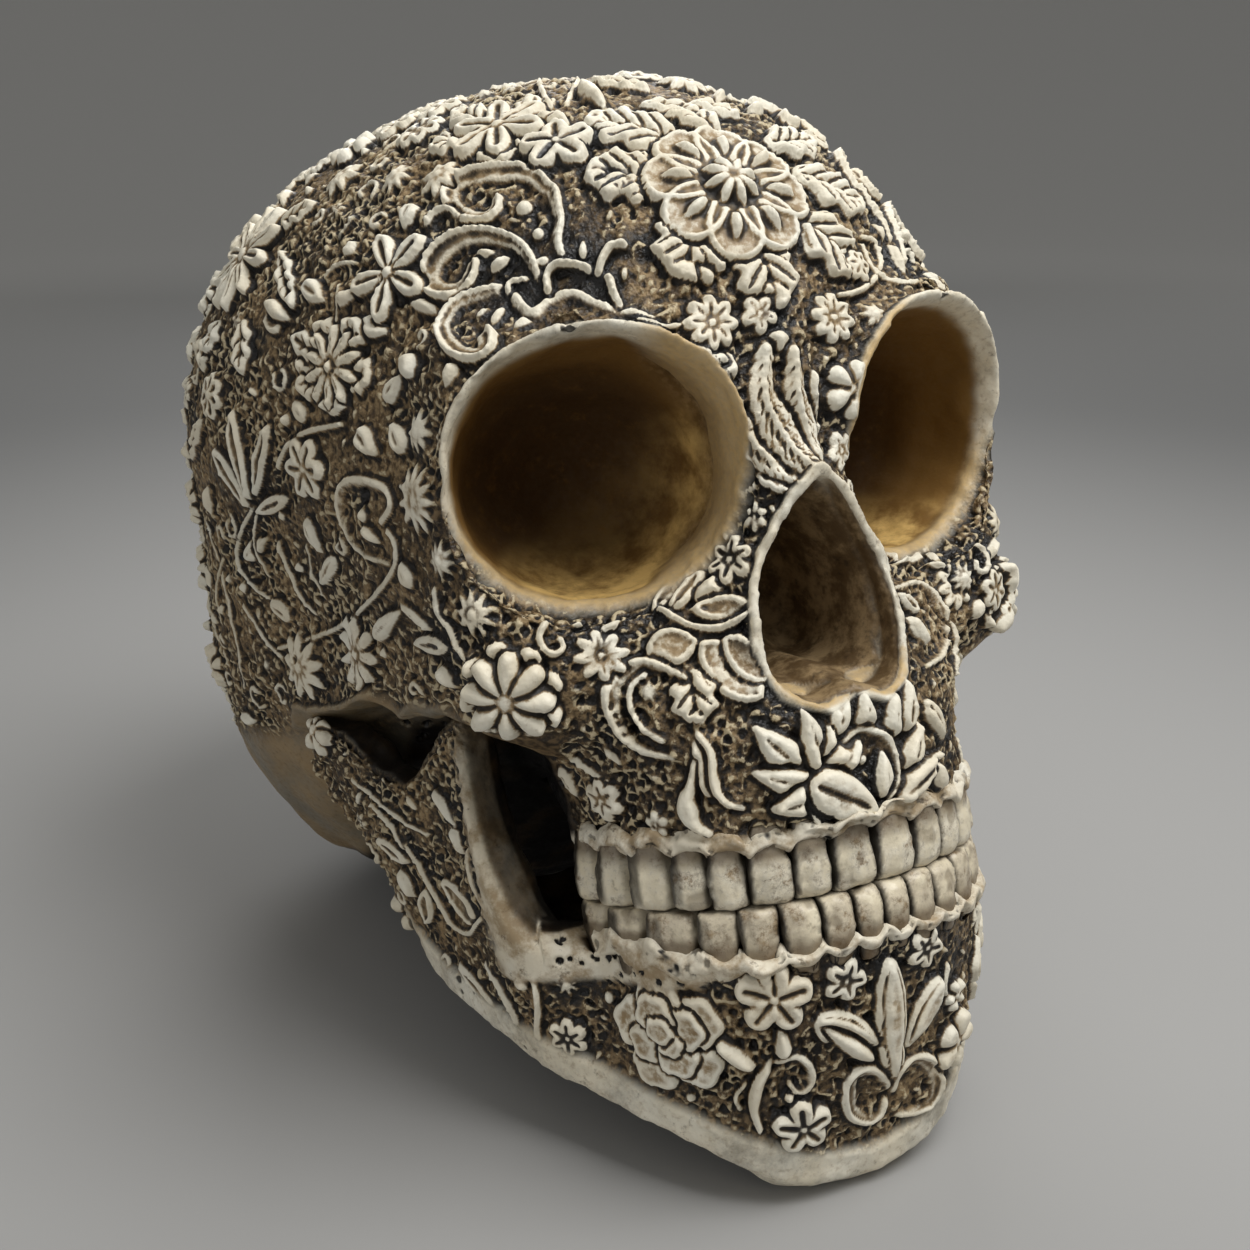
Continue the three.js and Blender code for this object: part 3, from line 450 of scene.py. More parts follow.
def through(points, steps=6):
    """A smooth line of pixels through a few of them."""
    p = [np.array(q, float) for q in points]
    if len(p) < 3:
        return [tuple(p[0] + (p[-1] - p[0]) * t) for t in np.linspace(0, 1, steps * 2)]
    p = [2 * p[0] - p[1], *p, 2 * p[-1] - p[-2]]
    line = []
    for a, b, c, d in zip(p, p[1:], p[2:], p[3:]):
        for t in np.arange(steps) / steps:
            line.append(tuple(0.5 * (2 * b + (c - a) * t + (2 * a - 5 * b + 4 * c - d) * t ** 2
                                     + (3 * b - a - 3 * c + d) * t ** 3)))
    return [*line, tuple(p[-2])]


def petal(u, v, length, width, height, kind):
    """How high a petal stands over its own ground, in millimetres. It points along v from its root."""
    k = PETAL_KINDS[kind]
    t = np.clip(v / length, 1e-4, 1 - 1e-4)
    widest = k["root"] / (k["root"] + k["blunt"])
    fullness = t ** k["root"] * (1 - t) ** k["blunt"] / (widest ** k["root"] * (1 - widest) ** k["blunt"])
    half = width / 2 * fullness * (1 + k["lobes"] * np.cos(t * 18))
    side = np.abs(u) / np.maximum(half, 1e-3)
    inside = (v > 0) & (v < length) & (side < 1)
    edge = (1 - side) * half
    wall = soft(edge, -0.15, 0.85)
    top = height * (1 - k["dish"] * (1 - 0.5 * side ** 2) * soft(edge, 0.7, 1.4))
    if k.get("inlay"):
        top = top - k["inlay"] * height * np.exp(-((edge - 1.05) / 0.32) ** 2)
    if k["vein"]:
        groove = k["vein"] * height * np.exp(-(u / 0.42) ** 2) * soft(t, 0.02, 0.1)
        top = top - groove * (1 - soft(t, 0.72, 0.86))
    if k["ribs"]:
        wave = np.cos(2 * math.pi * (v - np.abs(u) * 1.1) / 3.1)
        groove = k["ribs"] * height * soft(wave, 0.5, 0.9) * soft(edge, 0.7, 1.1)
        top = top - groove * (1 - soft(t, 0.8, 0.95))
    return np.where(inside, top * wall, 0)


class Carving:
    """The skin of one casting while it is carved."""

    def __init__(self, piece, zones):
        mesh = piece.data
        count = len(mesh.vertices)
        self.piece, self.zones = piece, zones
        self.co, self.no, self.edges = points_of(mesh), normals_of(mesh), edges_of(mesh)
        self.links = np.bincount(self.edges.ravel(), minlength=count).astype(float)
        self.tree = BVHTree.FromObject(piece, bpy.context.evaluated_depsgraph_get())
        self.no = np.stack([self.even(self.no[:, i], 3) for i in range(3)], 1)
        self.no /= np.linalg.norm(self.no, axis=1)[:, None]
        self.rise = np.zeros(count)
        self.soot = np.zeros(count)
        self.holes = np.zeros(count)
        self.by_level = np.argsort(self.co[:, 2])
        self.levels = self.co[self.by_level, 2]
        self.taken_places = []
        self.taken_sizes = []

    def even(self, values, rounds):
        """Values averaged with those around them, some rounds over."""
        a, b = self.edges[:, 0], self.edges[:, 1]
        for _ in range(rounds):
            total = np.bincount(a, values[b], len(values)) + np.bincount(b, values[a], len(values))
            values = 0.5 * values + 0.5 * total / self.links
        return values

    def hit(self, x, y):
        """Where the camera sees the casting at a pixel, or None."""
        place, normal, _, _ = self.tree.ray_cast(CAMERA_PLACE, at_pixel(x, y))
        return None if place is None else (np.array(place), np.array(normal))

    def aim(self, start, x, y, pixels):
        """Where on the skin a pixel lies, or beside the start if it looks past the skin, or None."""
        place, facing = start
        longest = 2.4 * pixels / PIXELS_PER_MM * MM
        found = self.hit(x, y)
        if found is not None and np.linalg.norm(found[0] - place) < longest:
            return found[0]
        way = np.array(at_pixel(x, y))
        slant = way @ facing
        if abs(slant) < 0.15:
            return None
        tip = np.array(CAMERA_PLACE) + way * ((place - np.array(CAMERA_PLACE)) @ facing / slant)
        return tip if np.linalg.norm(tip - place) < longest else None

    def near(self, place, reach):
        """The points within reach of a place, in metres, and how they lie from it in millimetres."""
        low, high = np.searchsorted(self.levels, (place[2] - reach, place[2] + reach))
        layer = self.by_level[low:high]
        away = self.co[layer] - place
        close = np.einsum("ij,ij->i", away, away) < reach * reach
        return layer[close], away[close] / MM

    def take(self, place, size):
        """Notes that the ground is taken, within size of a place, in metres."""
        self.taken_places.append(place)
        self.taken_sizes.append(size)

    def free(self, place, room):
        away = np.linalg.norm(np.array(self.taken_places) - place, axis=1)
        return np.all(away > (np.array(self.taken_sizes) + room) * 0.94)

    def lay(self, place, tip, reach, shape, over=False):
        """Raises the shape, a function of places across and along in millimetres, round a place to a tip.
        What lies over other ornament hides it, and has a groove round it."""
        found, away = self.near(place, reach)
        if len(found) < 4:
            return
        close = np.linalg.norm(away, axis=1) < 0.7 * reach / MM
        facing = self.no[found][close].mean(0) if close.any() else self.no[found].mean(0)
        facing /= np.linalg.norm(facing)
        along = (tip - place) - facing * np.dot(tip - place, facing)
        along /= np.linalg.norm(along) + 1e-12
        across = np.cross(along, facing)
        u, v = away @ across, away @ along
        stretch = np.linalg.norm(away, axis=1) / np.maximum(np.hypot(u, v), 1e-6)
        stretch = np.clip(stretch, 1, 1.3)
        height = shape(u * stretch, v * stretch)
        turned = (self.no[found] @ facing > -0.1) * self.zones["carved"][found]
        height = height * turned
        if over:
            beside = np.maximum.reduce([shape(u * stretch + a * GROOVE, v * stretch + b * GROOVE)
                                        for a, b in ((1, 0), (-1, 0), (0, 1), (0, -1))])
            covered = soft(beside, 0.0, 0.9) * turned
            self.rise[found] = np.maximum(self.rise[found] * (1 - 0.85 * covered), height)
        else:
            self.rise[found] = np.maximum(self.rise[found], height)

    def flower(self, place, tip, petals, kind, height, over=False):
        radius = np.linalg.norm(tip - place) / MM
        self.take(place, radius * MM)
        turn = 2 * math.pi / petals

        def ring(u, v, length, width, tall, shape, shift=0.0, start=0.0):
            result = np.zeros(len(u))
            for i in range(petals):
                a = i * turn + shift
                x, y = u * math.cos(a) - v * math.sin(a), u * math.sin(a) + v * math.cos(a)
                result = np.maximum(result, petal(x, y - start, length - start, width, tall, shape))
            return result

        def shape(u, v):
            distance = np.hypot(u, v)
            chord = 2 * radius * math.sin(turn / 2)
            if kind == "layered":
                result = ring(u, v, radius, chord * 0.96, height, "round")
                inner = ring(u, v, radius * 0.82, chord * 0.28, height, "drop", 0, radius * 0.42)
                result = np.maximum(result, inner)
                result = np.where(distance < radius * 0.38, np.minimum(result, height * 0.5), result)
                heart = ring(u, v, radius * 0.38, chord * 0.27, height * 1.1, "drop", turn / 2)
                result = np.maximum(result, heart)
                return np.maximum(result, height * 1.1 * soft(-distance, -radius * 0.1, -radius * 0.03))
            if kind == "rose":
                result = np.zeros(len(u))
                for level, (ring_radius, size, count) in enumerate(ROSE_RINGS):
                    for i in range(count):
                        a = 2 * math.pi * (i + 0.37 * level) / count
                        x, y = u - radius * ring_radius * math.cos(a), v - radius * ring_radius * math.sin(a)
                        curl = 1 + 0.07 * np.cos(5 * np.arctan2(y, x) + level + i)
                        d = np.hypot(x, y) / (radius * size * curl)
                        tall = height * (0.66 + 0.15 * level)
                        cup = tall * (0.84 + 0.16 * soft(d, 0.5, 0.9))
                        result = np.where(d < 1, cup * soft(-d, -1, -0.9),
                                          np.where(d < 1.1, result * 0.55, result))
                return result
            shape_kind, fill, centre = FLOWER_KINDS[kind]
            result = ring(u, v, radius, chord * fill * 0.92, height, shape_kind)
            core = radius * (0.2 if kind in ("plump", "daisy", "hollow") else 0.12)
            dome = height * (0.75 + 0.35 * centre * np.sqrt(np.clip(1 - (distance / core) ** 2, 0, 1)))
            return np.where(distance < core, np.maximum(dome, result * 0.5), result)

        self.lay(place, tip, (radius * 1.08 + 0.8) * MM, shape, over)

    def leaf(self, root, tip, width, kind, height, over=False):
        length = np.linalg.norm(tip - root) / MM
        middle = (root + tip) / 2
        self.take(middle, max(length, width) / 2 * MM)
        self.lay(middle, tip, (length / 2 + width / 2 + 1) * MM,
                 lambda u, v: petal(u, v + length / 2, length, width, height, kind), over)

    def ridge(self, line, widths, height, feather=False, lip=0):
        """A ridge along places on the skin, in metres. With a lip of 1 or -1 it is a ribbon, rolled up on its
        left or right."""
        p = np.array(line)
        if len(p) < 2:
            return
        shares = np.linspace(0, 1, len(p))
        width = np.interp(shares, (0, 0.5, 1), widths) / 2
        middle = (p.min(0) + p.max(0)) / 2
        reach = np.linalg.norm(p - middle, axis=1).max() + 3 * MM
        found, away = self.near(middle, reach)
        best = np.full(len(found), 9.0)
        left = np.zeros(len(found))
        lengths = np.concatenate([[0], np.cumsum(np.linalg.norm(np.diff(p, axis=0), axis=1))]) / MM
        where = np.zeros(len(found))
        q = (p - middle) / MM
        for i in range(len(q) - 1):
            d = q[i + 1] - q[i]
            size = max(float(d @ d), 1e-9)
            t = np.clip((away - q[i]) @ d / size, 0, 1)
            beside = away - q[i] - t[:, None] * d
            far = np.linalg.norm(beside, axis=1)
            share = far / (width[i] + (width[i + 1] - width[i]) * t)
            closer = share < best
            best = np.where(closer, share, best)
            where = np.where(closer, lengths[i] + t * (lengths[i + 1] - lengths[i]), where)
            if lip:
                hand = np.sign(np.einsum("ij,ij->i", beside, np.cross(self.no[found], d)))
                left = np.where(closer, hand, left)
        half = np.interp(where, lengths, width)
        crest = soft((1 - best) * half, -0.15, np.minimum(0.8, half)) * height
        if feather:
            barbs = 0.5 - 0.5 * np.cos(2 * math.pi * (where + best * half * 1.6) / 1.75)
            spine = soft(-best * half, -0.6, -0.2)
            crest *= (0.3 + 0.65 * barbs) * (1 - spine) + 1.1 * spine
        if lip:
            e = left * best * lip
            rolled = np.exp(-((e - 0.62) / 0.34) ** 2)
            crest *= np.clip(0.34 + 0.66 * rolled, 0, 1)
        allowed = self.zones["carved"][found]
        crest *= allowed
        covered = (1 - soft((best - 1) * half, 0.1, GROOVE + 0.4)) * allowed
        self.rise[found] = np.maximum(self.rise[found] * (1 - 0.8 * covered), crest)
        for i in range(0, len(p), 4):
            self.take(p[i], float(width[i] + 0.6) * MM)

    def pearl(self, place, radius):
        found, away = self.near(place, radius * MM * 1.1)
        share = np.linalg.norm(away, axis=1) / radius
        height = (self.rise[found] * 0.5 + 1.2 + radius * 0.6) * np.sqrt(np.clip(1 - share ** 2, 0, 1))
        self.rise[found] = np.maximum(self.rise[found], height * self.zones["carved"][found])

    def blacken(self, place, radius):
        found, away = self.near(place, radius * MM * 1.6)
        share = np.linalg.norm(away, axis=1) / radius
        self.soot[found] = np.maximum(self.soot[found], 1 - soft(share, 0.5, 1.6))


def bore(carving, holes, pores, seed):
    """Single holes, and patches of small pores as in spongy bone, by pixels of the photograph."""
    pick = random.Random(seed)
    marks = [(x, y, radius) for x, y, radius in holes]
    for x, y, radius in pores:
        for _ in range(int(radius * radius * 0.7)):
            a, share = pick.uniform(0, 2 * math.pi), math.sqrt(pick.random())
            marks.append((x + math.cos(a) * radius * share * PIXELS_PER_MM,
                          y + math.sin(a) * radius * share * PIXELS_PER_MM, pick.uniform(0.35, 0.8)))
    for x, y, radius in marks:
        middle = carving.hit(x, y)
        if middle is None:
            continue
        places = [middle[0]]
        if middle[0][0] < MIRROR_FROM:
            places.append(np.array(carving.tree.find_nearest(Vector(middle[0] * MIRROR))[0]))
        for place in places:
            found, away = carving.near(place, radius * MM * 1.8)
            share = np.linalg.norm(away, axis=1) / radius
            carving.holes[found] = np.maximum(carving.holes[found], 1 - soft(share, 0.6, 1.3))


def carve_seen(carving, flowers, leaves, ridges, feathers, pearls, soot):
    """Lays the ornament that the photograph shows, and its mirror image on the other side."""
    def both(place):
        """The place itself, and its mirror image on the other side of the casting."""
        other = carving.tree.find_nearest(Vector(place * MIRROR))[0]
        return place, np.array(other)

    def spans(x, y, tip_x, tip_y):
        """The places on the skin under two pixels, with their mirror images beyond MIRROR_FROM."""
        start = carving.hit(x, y)
        tip = start and carving.aim(start, tip_x, tip_y, math.hypot(tip_x - x, tip_y - y))
        if tip is None:
            return []
        (a, b), (c, d) = both(start[0]), both(tip)
        return [(a, c), (b, d)] if a[0] < MIRROR_FROM else [(a, c)]

    for *pixels, width, kind, height in leaves:
        for root, tip in spans(*pixels):
            carving.leaf(root, tip, width, kind, height, True)
    lines = [(points, widths[:3], widths[3], False, sum(widths[4:])) for points, *widths in ridges]
    lines += [(points, (width * 0.6, width, width * 0.45), 2.6, True, 0) for points, width in feathers]
    for points, widths, height, feather, lip in lines:
        line = []
        for p in through(points):
            found = carving.hit(*p)
            if found is not None and (not line or np.linalg.norm(found[0] - line[-1]) < 6 * MM):
                line.append(found[0])
        if len(line) < 2:
            continue
        carving.ridge(line, widths, height, feather, lip)
        if line[0][0] < MIRROR_FROM and line[-1][0] < MIRROR_FROM:
            carving.ridge([both(p)[1] for p in line], widths, height, feather, -lip)
    for *pixels, petals, kind, height in flowers:
        for middle, tip in spans(*pixels):
            carving.flower(middle, tip, petals, kind, height, True)
    for x, y, radius in pearls:
        middle = carving.hit(x, y)
        if middle is not None:
            carving.pearl(middle[0], radius)
    for x, y, radius in soot:
        middle = carving.hit(x, y)
        if middle is not None:
            carving.blacken(middle[0], radius)
            if middle[0][0] < MIRROR_FROM:
                carving.blacken(both(middle[0])[1], radius)


def fill_rest(carving, zone_at, middle, seed, tries):
    """Fills what is still bare ground with flowers, leaves, curls and pearls, from large to small."""
    pick = random.Random(seed)
    for radius, count in tries:
        for _ in range(count):
            out = Vector((pick.gauss(0, 1), pick.gauss(0, 1), pick.gauss(0, 1))).normalized()
            turn, kind_pick, side = pick.uniform(0, 2 * math.pi), pick.random(), pick.choice((-1, 1))
            side_pick = pick.random()
            place, normal, _, _ = carving.tree.ray_cast(middle + out * FILL_REACH, -out)
            if place is None or zone_at(np.array([place]), np.array([normal]))["carved"][0] < 0.9:
                continue
            place = np.array(place)
            room = (radius + 0.35) * MM
            if not carving.free(place, room):
                continue
            facing = (CAMERA_PLACE - Vector(place)).normalized().dot(normal)
            if (facing > 0.15 and radius < 4 and side_pick > SEEN_FILL) or (radius > 6 and facing > -0.3):
                continue
            across = normal.orthogonal().normalized()
            along = normal.cross(across)
            heading = np.array(across * math.cos(turn) + along * math.sin(turn))
            sideways = np.array(normal.cross(Vector(heading)))
            tip = place + heading * radius * MM
            if radius > 4:
                kind = ("layered", "rimmed", "hollow", "plump", "daisy")[int(kind_pick * 5)]
                petals = 8 if kind == "layered" else 5 + int(kind_pick * 17) % 4
                carving.flower(place, tip, petals, kind, 1.6 + radius * 0.13)
                for i in range(6):
                    a = i * math.pi / 3 + 0.3
                    way = heading * math.cos(a) + sideways * math.sin(a)
                    if radius > 6.5:
                        carving.leaf(place + way * radius * 0.8 * MM, place + way * radius * 1.6 * MM,
                                     radius * 0.6, "veined", 2.2)
            elif radius > 2 and kind_pick < 0.4:
                kind = "star" if kind_pick < 0.2 else "daisy"
                carving.flower(place, tip, 5 + int(kind_pick * 10), kind, 1.8)
            elif radius > 2 and kind_pick < 0.7:
                line = [place + (heading * math.cos(a) * r + sideways * side * math.sin(a) * r) * MM
                        for a, r in ((0.6 * i, radius * (0.35 + 0.075 * i)) for i in range(9))]
                carving.ridge([np.array(carving.tree.find_nearest(Vector(p))[0]) for p in line],
                              (1.2, 1.1, 0.7), 1.7)
                carving.take(place, room)
            elif kind_pick < 0.93:
                kind = ("drop", "hollow", "slim")[int(kind_pick * 29) % 3]
                carving.leaf(place - heading * radius * MM, tip, radius * 0.95, kind, 1.2 + radius * 0.25)
            else:
                carving.pearl(place, min(radius, 1.1))
                carving.take(place, room)


def cranium_zones(points, normals):
    """How far each point belongs to the carved ground, the sockets, the rims and the plain places."""
    p, n = upright(points), upright_direction(normals)
    x, y, z = np.abs(p[:, 0]), p[:, 1], p[:, 2]
    a, b, c = x - SOCKET_PLACE[0], y - SOCKET_PLACE[1], z - SOCKET_PLACE[2]
    ct, st = math.cos(SOCKET_TURN), math.sin(SOCKET_TURN)
    cp, sp = math.cos(SOCKET_TIP), math.sin(SOCKET_TIP)
    a, b = ct * a + st * b, -st * a + ct * b
    b, c = cp * b + sp * c, -sp * b + cp * c
    drift_a = math.tan(SOCKET_TURN - SOCKET_INWARD) / cp
    a, c = a - b * drift_a, c + b * math.tan(SOCKET_TIP)
    reach = ((np.abs(a) / SOCKET_HALF_WIDTH) ** SOCKET_SQUARENESS
             + (np.abs(c) / SOCKET_HALF_HEIGHT) ** SOCKET_SQUARENESS) ** (1 / SOCKET_SQUARENESS)
    before = soft(-y, 25, 35)
    medial = soft(-a, 5, 16)
    bowl = (1 - soft(reach, 0.96 - 0.12 * medial, 0.995)) * soft(b, -9, -5) * before
    rim_end = 1.02 + 0.075 * soft(c, -6, 10) - 0.01 * soft(a, 5, 16)
    rim = 1 - soft(reach, rim_end - 0.015, rim_end + 0.02)
    rim = rim * soft(b, -12, -9) * (1 - soft(b, 8, 11)) * before
    depth = np.clip(b / SOCKET_DEPTH, 0, 1)
    middle, half = (NOSE_TOP + NOSE_BOTTOM) / 2, (NOSE_TOP - NOSE_BOTTOM) / 2
    outline = np.array([(w * NOSE_HALF_WIDTH, middle + h * half)
                        for w, h in zip(NOSE_WIDTH_SHARES, NOSE_HEIGHT_SHARES)])
    away = np.full(len(x), 99.0)
    for (x0, z0), (x1, z1) in zip(outline, outline[1:]):
        dx, dz = x1 - x0, z1 - z0
        t = np.clip(((x - x0) * dx + (z - z0) * dz) / (dx * dx + dz * dz), 0, 1)
        away = np.minimum(away, np.hypot(x - x0 - t * dx, z - z0 - t * dz))
    order = np.argsort(outline[:, 1])
    wide = np.interp(z, outline[order, 1], outline[order, 0], left=0, right=0)
    ahead = soft(-y, 50, 58)
    nose = np.where((x < wide) & (z < NOSE_TOP) & (z > NOSE_BOTTOM), soft(away, -0.2, 0.5), 0) * ahead
    reached = np.interp(np.clip(z, NOSE_BOTTOM + 5, NOSE_TOP), outline[order, 1], outline[order, 0])
    inward = (1 - soft(-n[:, 1], 0.2, 0.5)) * (x < reached + 2.5)
    inward = inward * (z < NOSE_TOP + 1) * (z > NOSE_BOTTOM - 5) * ahead
    nose = np.maximum(nose, inward * soft(n[:, 2], -0.9, -0.6))
    nose_rim = (1 - soft(away, 2.0, 2.7)) * ahead * (1 - nose)
    u, v = x - FOSSA_PLACE[0], y - FOSSA_PLACE[1]
    cf, sf = math.cos(FOSSA_TURN), math.sin(FOSSA_TURN)
    u, v = cf * u + sf * v, -sf * u + cf * v
    fossa = (1 - soft(np.hypot(u / FOSSA_HALF[0], v / FOSSA_HALF[1]), 1.08, 1.2)) * soft(-z, 8, 12)
    fossa = np.maximum(fossa, soft(-z, 22, 26) * soft(y, -62, -56) * (1 - soft(x, 44, 47)))
    nape = soft(-z, 22, 28) * soft(y, -26, -18)
    under = soft(-n[:, 2], 0.5, 0.75) * soft(-z, 2, 10) * soft(y, -60, -50)
    out = np.stack([p[:, 0], y + ROW_CENTRE], 1)
    out /= np.maximum(np.linalg.norm(out, axis=1), 1e-6)[:, None]
    edge = soft(-z, 42.0, 43.6) * soft(-y, 35, 42)
    gum = edge * soft(n[:, 0] * out[:, 0] + n[:, 1] * out[:, 1], -0.2, 0.3)
    fossa = np.maximum(fossa, edge - gum)
    plain = np.maximum.reduce([fossa, nape, under, gum, soft(-n[:, 2], 0.6, 0.8) * soft(-z, 8, 14)])
    carved = (1 - plain) * (1 - np.maximum.reduce([bowl, rim, nose, nose_rim]))
    # Painted light in the sockets: the faces of the bowl that look up and outwards are marked here, to be
    # painted in lighter amber as if lit.
    floor = bowl * soft(n[:, 2] * 0.75 + n[:, 0] * np.sign(p[:, 0]) * 0.65, -0.05, 0.55)
    stain = np.maximum(rim * np.maximum(soft(-c, -4, 12), medial), nose_rim * soft(n[:, 2], 0.2, 0.7))
    return {"carved": carved, "bowl": bowl, "depth": depth, "floor": floor, "stain": stain,
            "rim": np.maximum(rim * (1 - bowl), nose_rim), "nose": nose, "high": soft(z, 35, 60),
            "fossa": fossa, "nape": np.maximum(nape, under) * (1 - fossa), "gum": gum, "z": z}


def jaw_zones(points, normals):
    p, n = upright(points), upright_direction(normals)
    x, y, z = np.abs(p[:, 0]), p[:, 1], p[:, 2]
    away = np.full(len(x), 99.0)
    for start, end in zip(JAW_BORDER, JAW_BORDER[1:]):
        s, d = np.array(start, float), np.subtract(end, start).astype(float)
        q = np.stack([x, y, z], 1) - s
        t = np.clip(q @ d / (d @ d), 0, 1)
        away = np.minimum(away, np.linalg.norm(q - t[:, None] * d, axis=1))
    out = np.stack([p[:, 0] / 50, (y + 20) / 50 * 0.8], 1)
    out /= np.maximum(np.linalg.norm(out, axis=1), 1e-6)[:, None]
    outward = n[:, 0] * out[:, 0] + n[:, 1] * out[:, 1]
    outer = soft(outward, 0.05, 0.35)
    band = (1 - soft(away, 6.5, 8.5)) * soft(-y, 10, 20)
    turn = np.abs(np.arctan2(p[:, 0], -y - ROW_CENTRE))
    low = GUM_ZONE - 4.0 * soft(turn, 0.42, 0.6)
    gum = soft(z, low - 1, low + 1) * soft(-y, 44, 50)
    carved = outer * (1 - band) * (1 - gum)
    return {**dict.fromkeys(ZONES, np.zeros(len(x))), "carved": carved, "rim": band,
            "fossa": (1 - outer) * (1 - band), "gum": gum * outer, "z": z}


def eased(co, edges, rounds):
    """Points drawn towards those around them and back, so that steps go and the size stays."""
    a, b = edges.T
    count = len(co)
    links = np.maximum(np.bincount(edges.ravel(), minlength=count), 1)[:, None]
    for i in range(rounds * 2):
        around = np.stack([np.bincount(a, co[b, k], count) + np.bincount(b, co[a, k], count)
                           for k in range(3)], 1)
        co = co + (0.6 if i % 2 == 0 else -0.58) * (around / links - co)
    return co


def even_skin(node, name, spacing, rounds, finer):
    """A copy of a CAD node as an even net of small quads, with the solid's facets rubbed down."""
    piece = bpy.data.objects.new(name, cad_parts[node].data.copy())
    bpy.context.scene.collection.objects.link(piece)
    net = piece.modifiers.new("net", "REMESH")
    net.mode = "VOXEL"
    net.voxel_size = spacing
    settle(piece)
    mesh = piece.data
    move(mesh, eased(points_of(mesh), edges_of(mesh), rounds))
    if finer:
        half = piece.modifiers.new("finer", "SUBSURF")
        half.levels = half.render_levels = finer
        settle(piece)
    piece.data.materials.clear()
    piece.data.shade_smooth()
    return piece


def settle(piece):
    """Makes what the piece's modifiers show its own mesh."""
    graph = bpy.context.evaluated_depsgraph_get()
    mesh = bpy.data.meshes.new_from_object(piece.evaluated_get(graph))
    piece.modifiers.clear()
    piece.data = mesh
    mesh.name = piece.name


def cell_value(i, j, k, seed):
    """A number from 0 to 1 for each cell of a lattice, always the same one."""
    h = (i * HASH_X) ^ (j * HASH_Y) ^ (k * HASH_Z) ^ (seed * HASH_SEED)
    h &= HASH_MASK
    h = ((h ^ (h >> 13)) * HASH_MIX) & HASH_MASK
    return ((h ^ (h >> 15)) & 0xffff) / 0xffff


def drift(points, size, seed):
    """Soft patches about size millimetres across, from -1 to 1."""
    place = np.asarray(points) / (size * MM) + 0.37 * seed
    corner = np.floor(place).astype(np.int64)
    t = place - corner
    t = t * t * t * (t * (6 * t - 15) + 10)
    total = np.zeros(len(place))
    for a in (0, 1):
        for b in (0, 1):
            for c in (0, 1):
                weight = abs(1 - a - t[:, 0]) * abs(1 - b - t[:, 1]) * abs(1 - c - t[:, 2])
                total += weight * cell_value(corner[:, 0] + a, corner[:, 1] + b, corner[:, 2] + c, seed)
    return (2 * total - 1) * 1.6


def pitting(points, size, seed):
    """Cells about size millimetres across, from 0 where they meet to 1 in their middles."""
    place = np.asarray(points) / (size * MM)
    corner = np.floor(place).astype(np.int64)
    first, second = np.full(len(place), 9.0), np.full(len(place), 9.0)
    steps = (-1, 0, 1)
    for a in steps:
        for b in steps:
            for c in steps:
                i, j, k = corner[:, 0] + a, corner[:, 1] + b, corner[:, 2] + c
                away = np.sqrt((i + cell_value(i, j, k, seed) - place[:, 0]) ** 2
                               + (j + cell_value(i, j, k, seed + 1) - place[:, 1]) ** 2
                               + (k + cell_value(i, j, k, seed + 2) - place[:, 2]) ** 2)
                second = np.minimum(second, np.maximum(first, away))
                first = np.minimum(first, away)
    return np.clip(second - first, 0, 1)


def keep(piece, name, values):
    attribute = piece.data.attributes.new(name, "FLOAT", "POINT")
    attribute.data.foreach_set("value", values.astype(np.float32))


def cut(carving, sizes, seed):
    """Moves the skin to the carved surface and keeps what the finish needs to know of it."""
    def patches(size, step):
        return drift(carving.co, size, seed + step)

    z = carving.zones
    rise = carving.even(carving.rise, 2)
    laid = np.clip(rise / 1.2, 0, 1)
    shadow = np.clip(carving.even(laid, 8) * 1.6, 0, 1) * (1 - laid)
    ground = z["carved"] * (1 - laid)
    depth = sizes.pit_depth / MM
    pits = soft(pitting(carving.co, sizes.pit_spacing / MM, seed), 0.12, 0.5)
    worn = patches(1.0, 0) * 0.45 + patches(1.9, 5) * 0.45
    worms = np.exp(-(patches(2.6, 11) / 0.2) ** 2)
    porous = soft(patches(11, 7), -0.3, 0.3)
    calm = 1 - 0.5 * soft(patches(15, 13), 0.0, 0.6)
    pits *= porous
    lower = 1 - 0.45 * soft(-z["z"], 12, 24)
    height = rise * sizes.relief - z["carved"] * lower * sizes.sink / MM - ground * shadow * sizes.trench / MM
    height += ground * depth * calm * (worn + worms * 0.6 * (1 - porous) - pits)
    height -= carving.holes * (1 - 0.6 * laid)
    height += soft(rise, 0.4, 1.2) * (patches(2.6, 9) * 0.12 + patches(1.1, 8) * 0.05)
    height += z["nape"] * patches(9.0, 3) * 0.5 + z["fossa"] * patches(4.0, 3) * 0.3
    height += z["bowl"] * (patches(9.0, 4) * 0.5 + patches(3.0, 6) * 0.12)
    height += z["rim"] * (patches(5.0, 4) * 0.25 + patches(1.5, 4) * 0.08)
    moved = carving.co + carving.no * height[:, None] * MM
    move(carving.piece.data, eased(moved, carving.edges, 3))
    around = carving.even(height, 5)
    wide = carving.even(height, 40)
    keep(carving.piece, "crest", np.clip((height - around) / 0.45, -1, 1))
    keep(carving.piece, "level", np.clip((height - wide) / 1.4, -1, 1))
    keep(carving.piece, "raised", np.clip(rise / 2.2, 0, 1))
    keep(carving.piece, "pit", ground * pits)
    # Dark wash round the foot of the ornament, deepened there into painted shade.
    keep(carving.piece, "foot_wash_and_shade", shadow * ground)
    for name in ZONES:
        keep(carving.piece, name, z[name])
    keep(carving.piece, "soot", carving.soot)
    keep(carving.piece, "hole", carving.holes * (1 - laid))


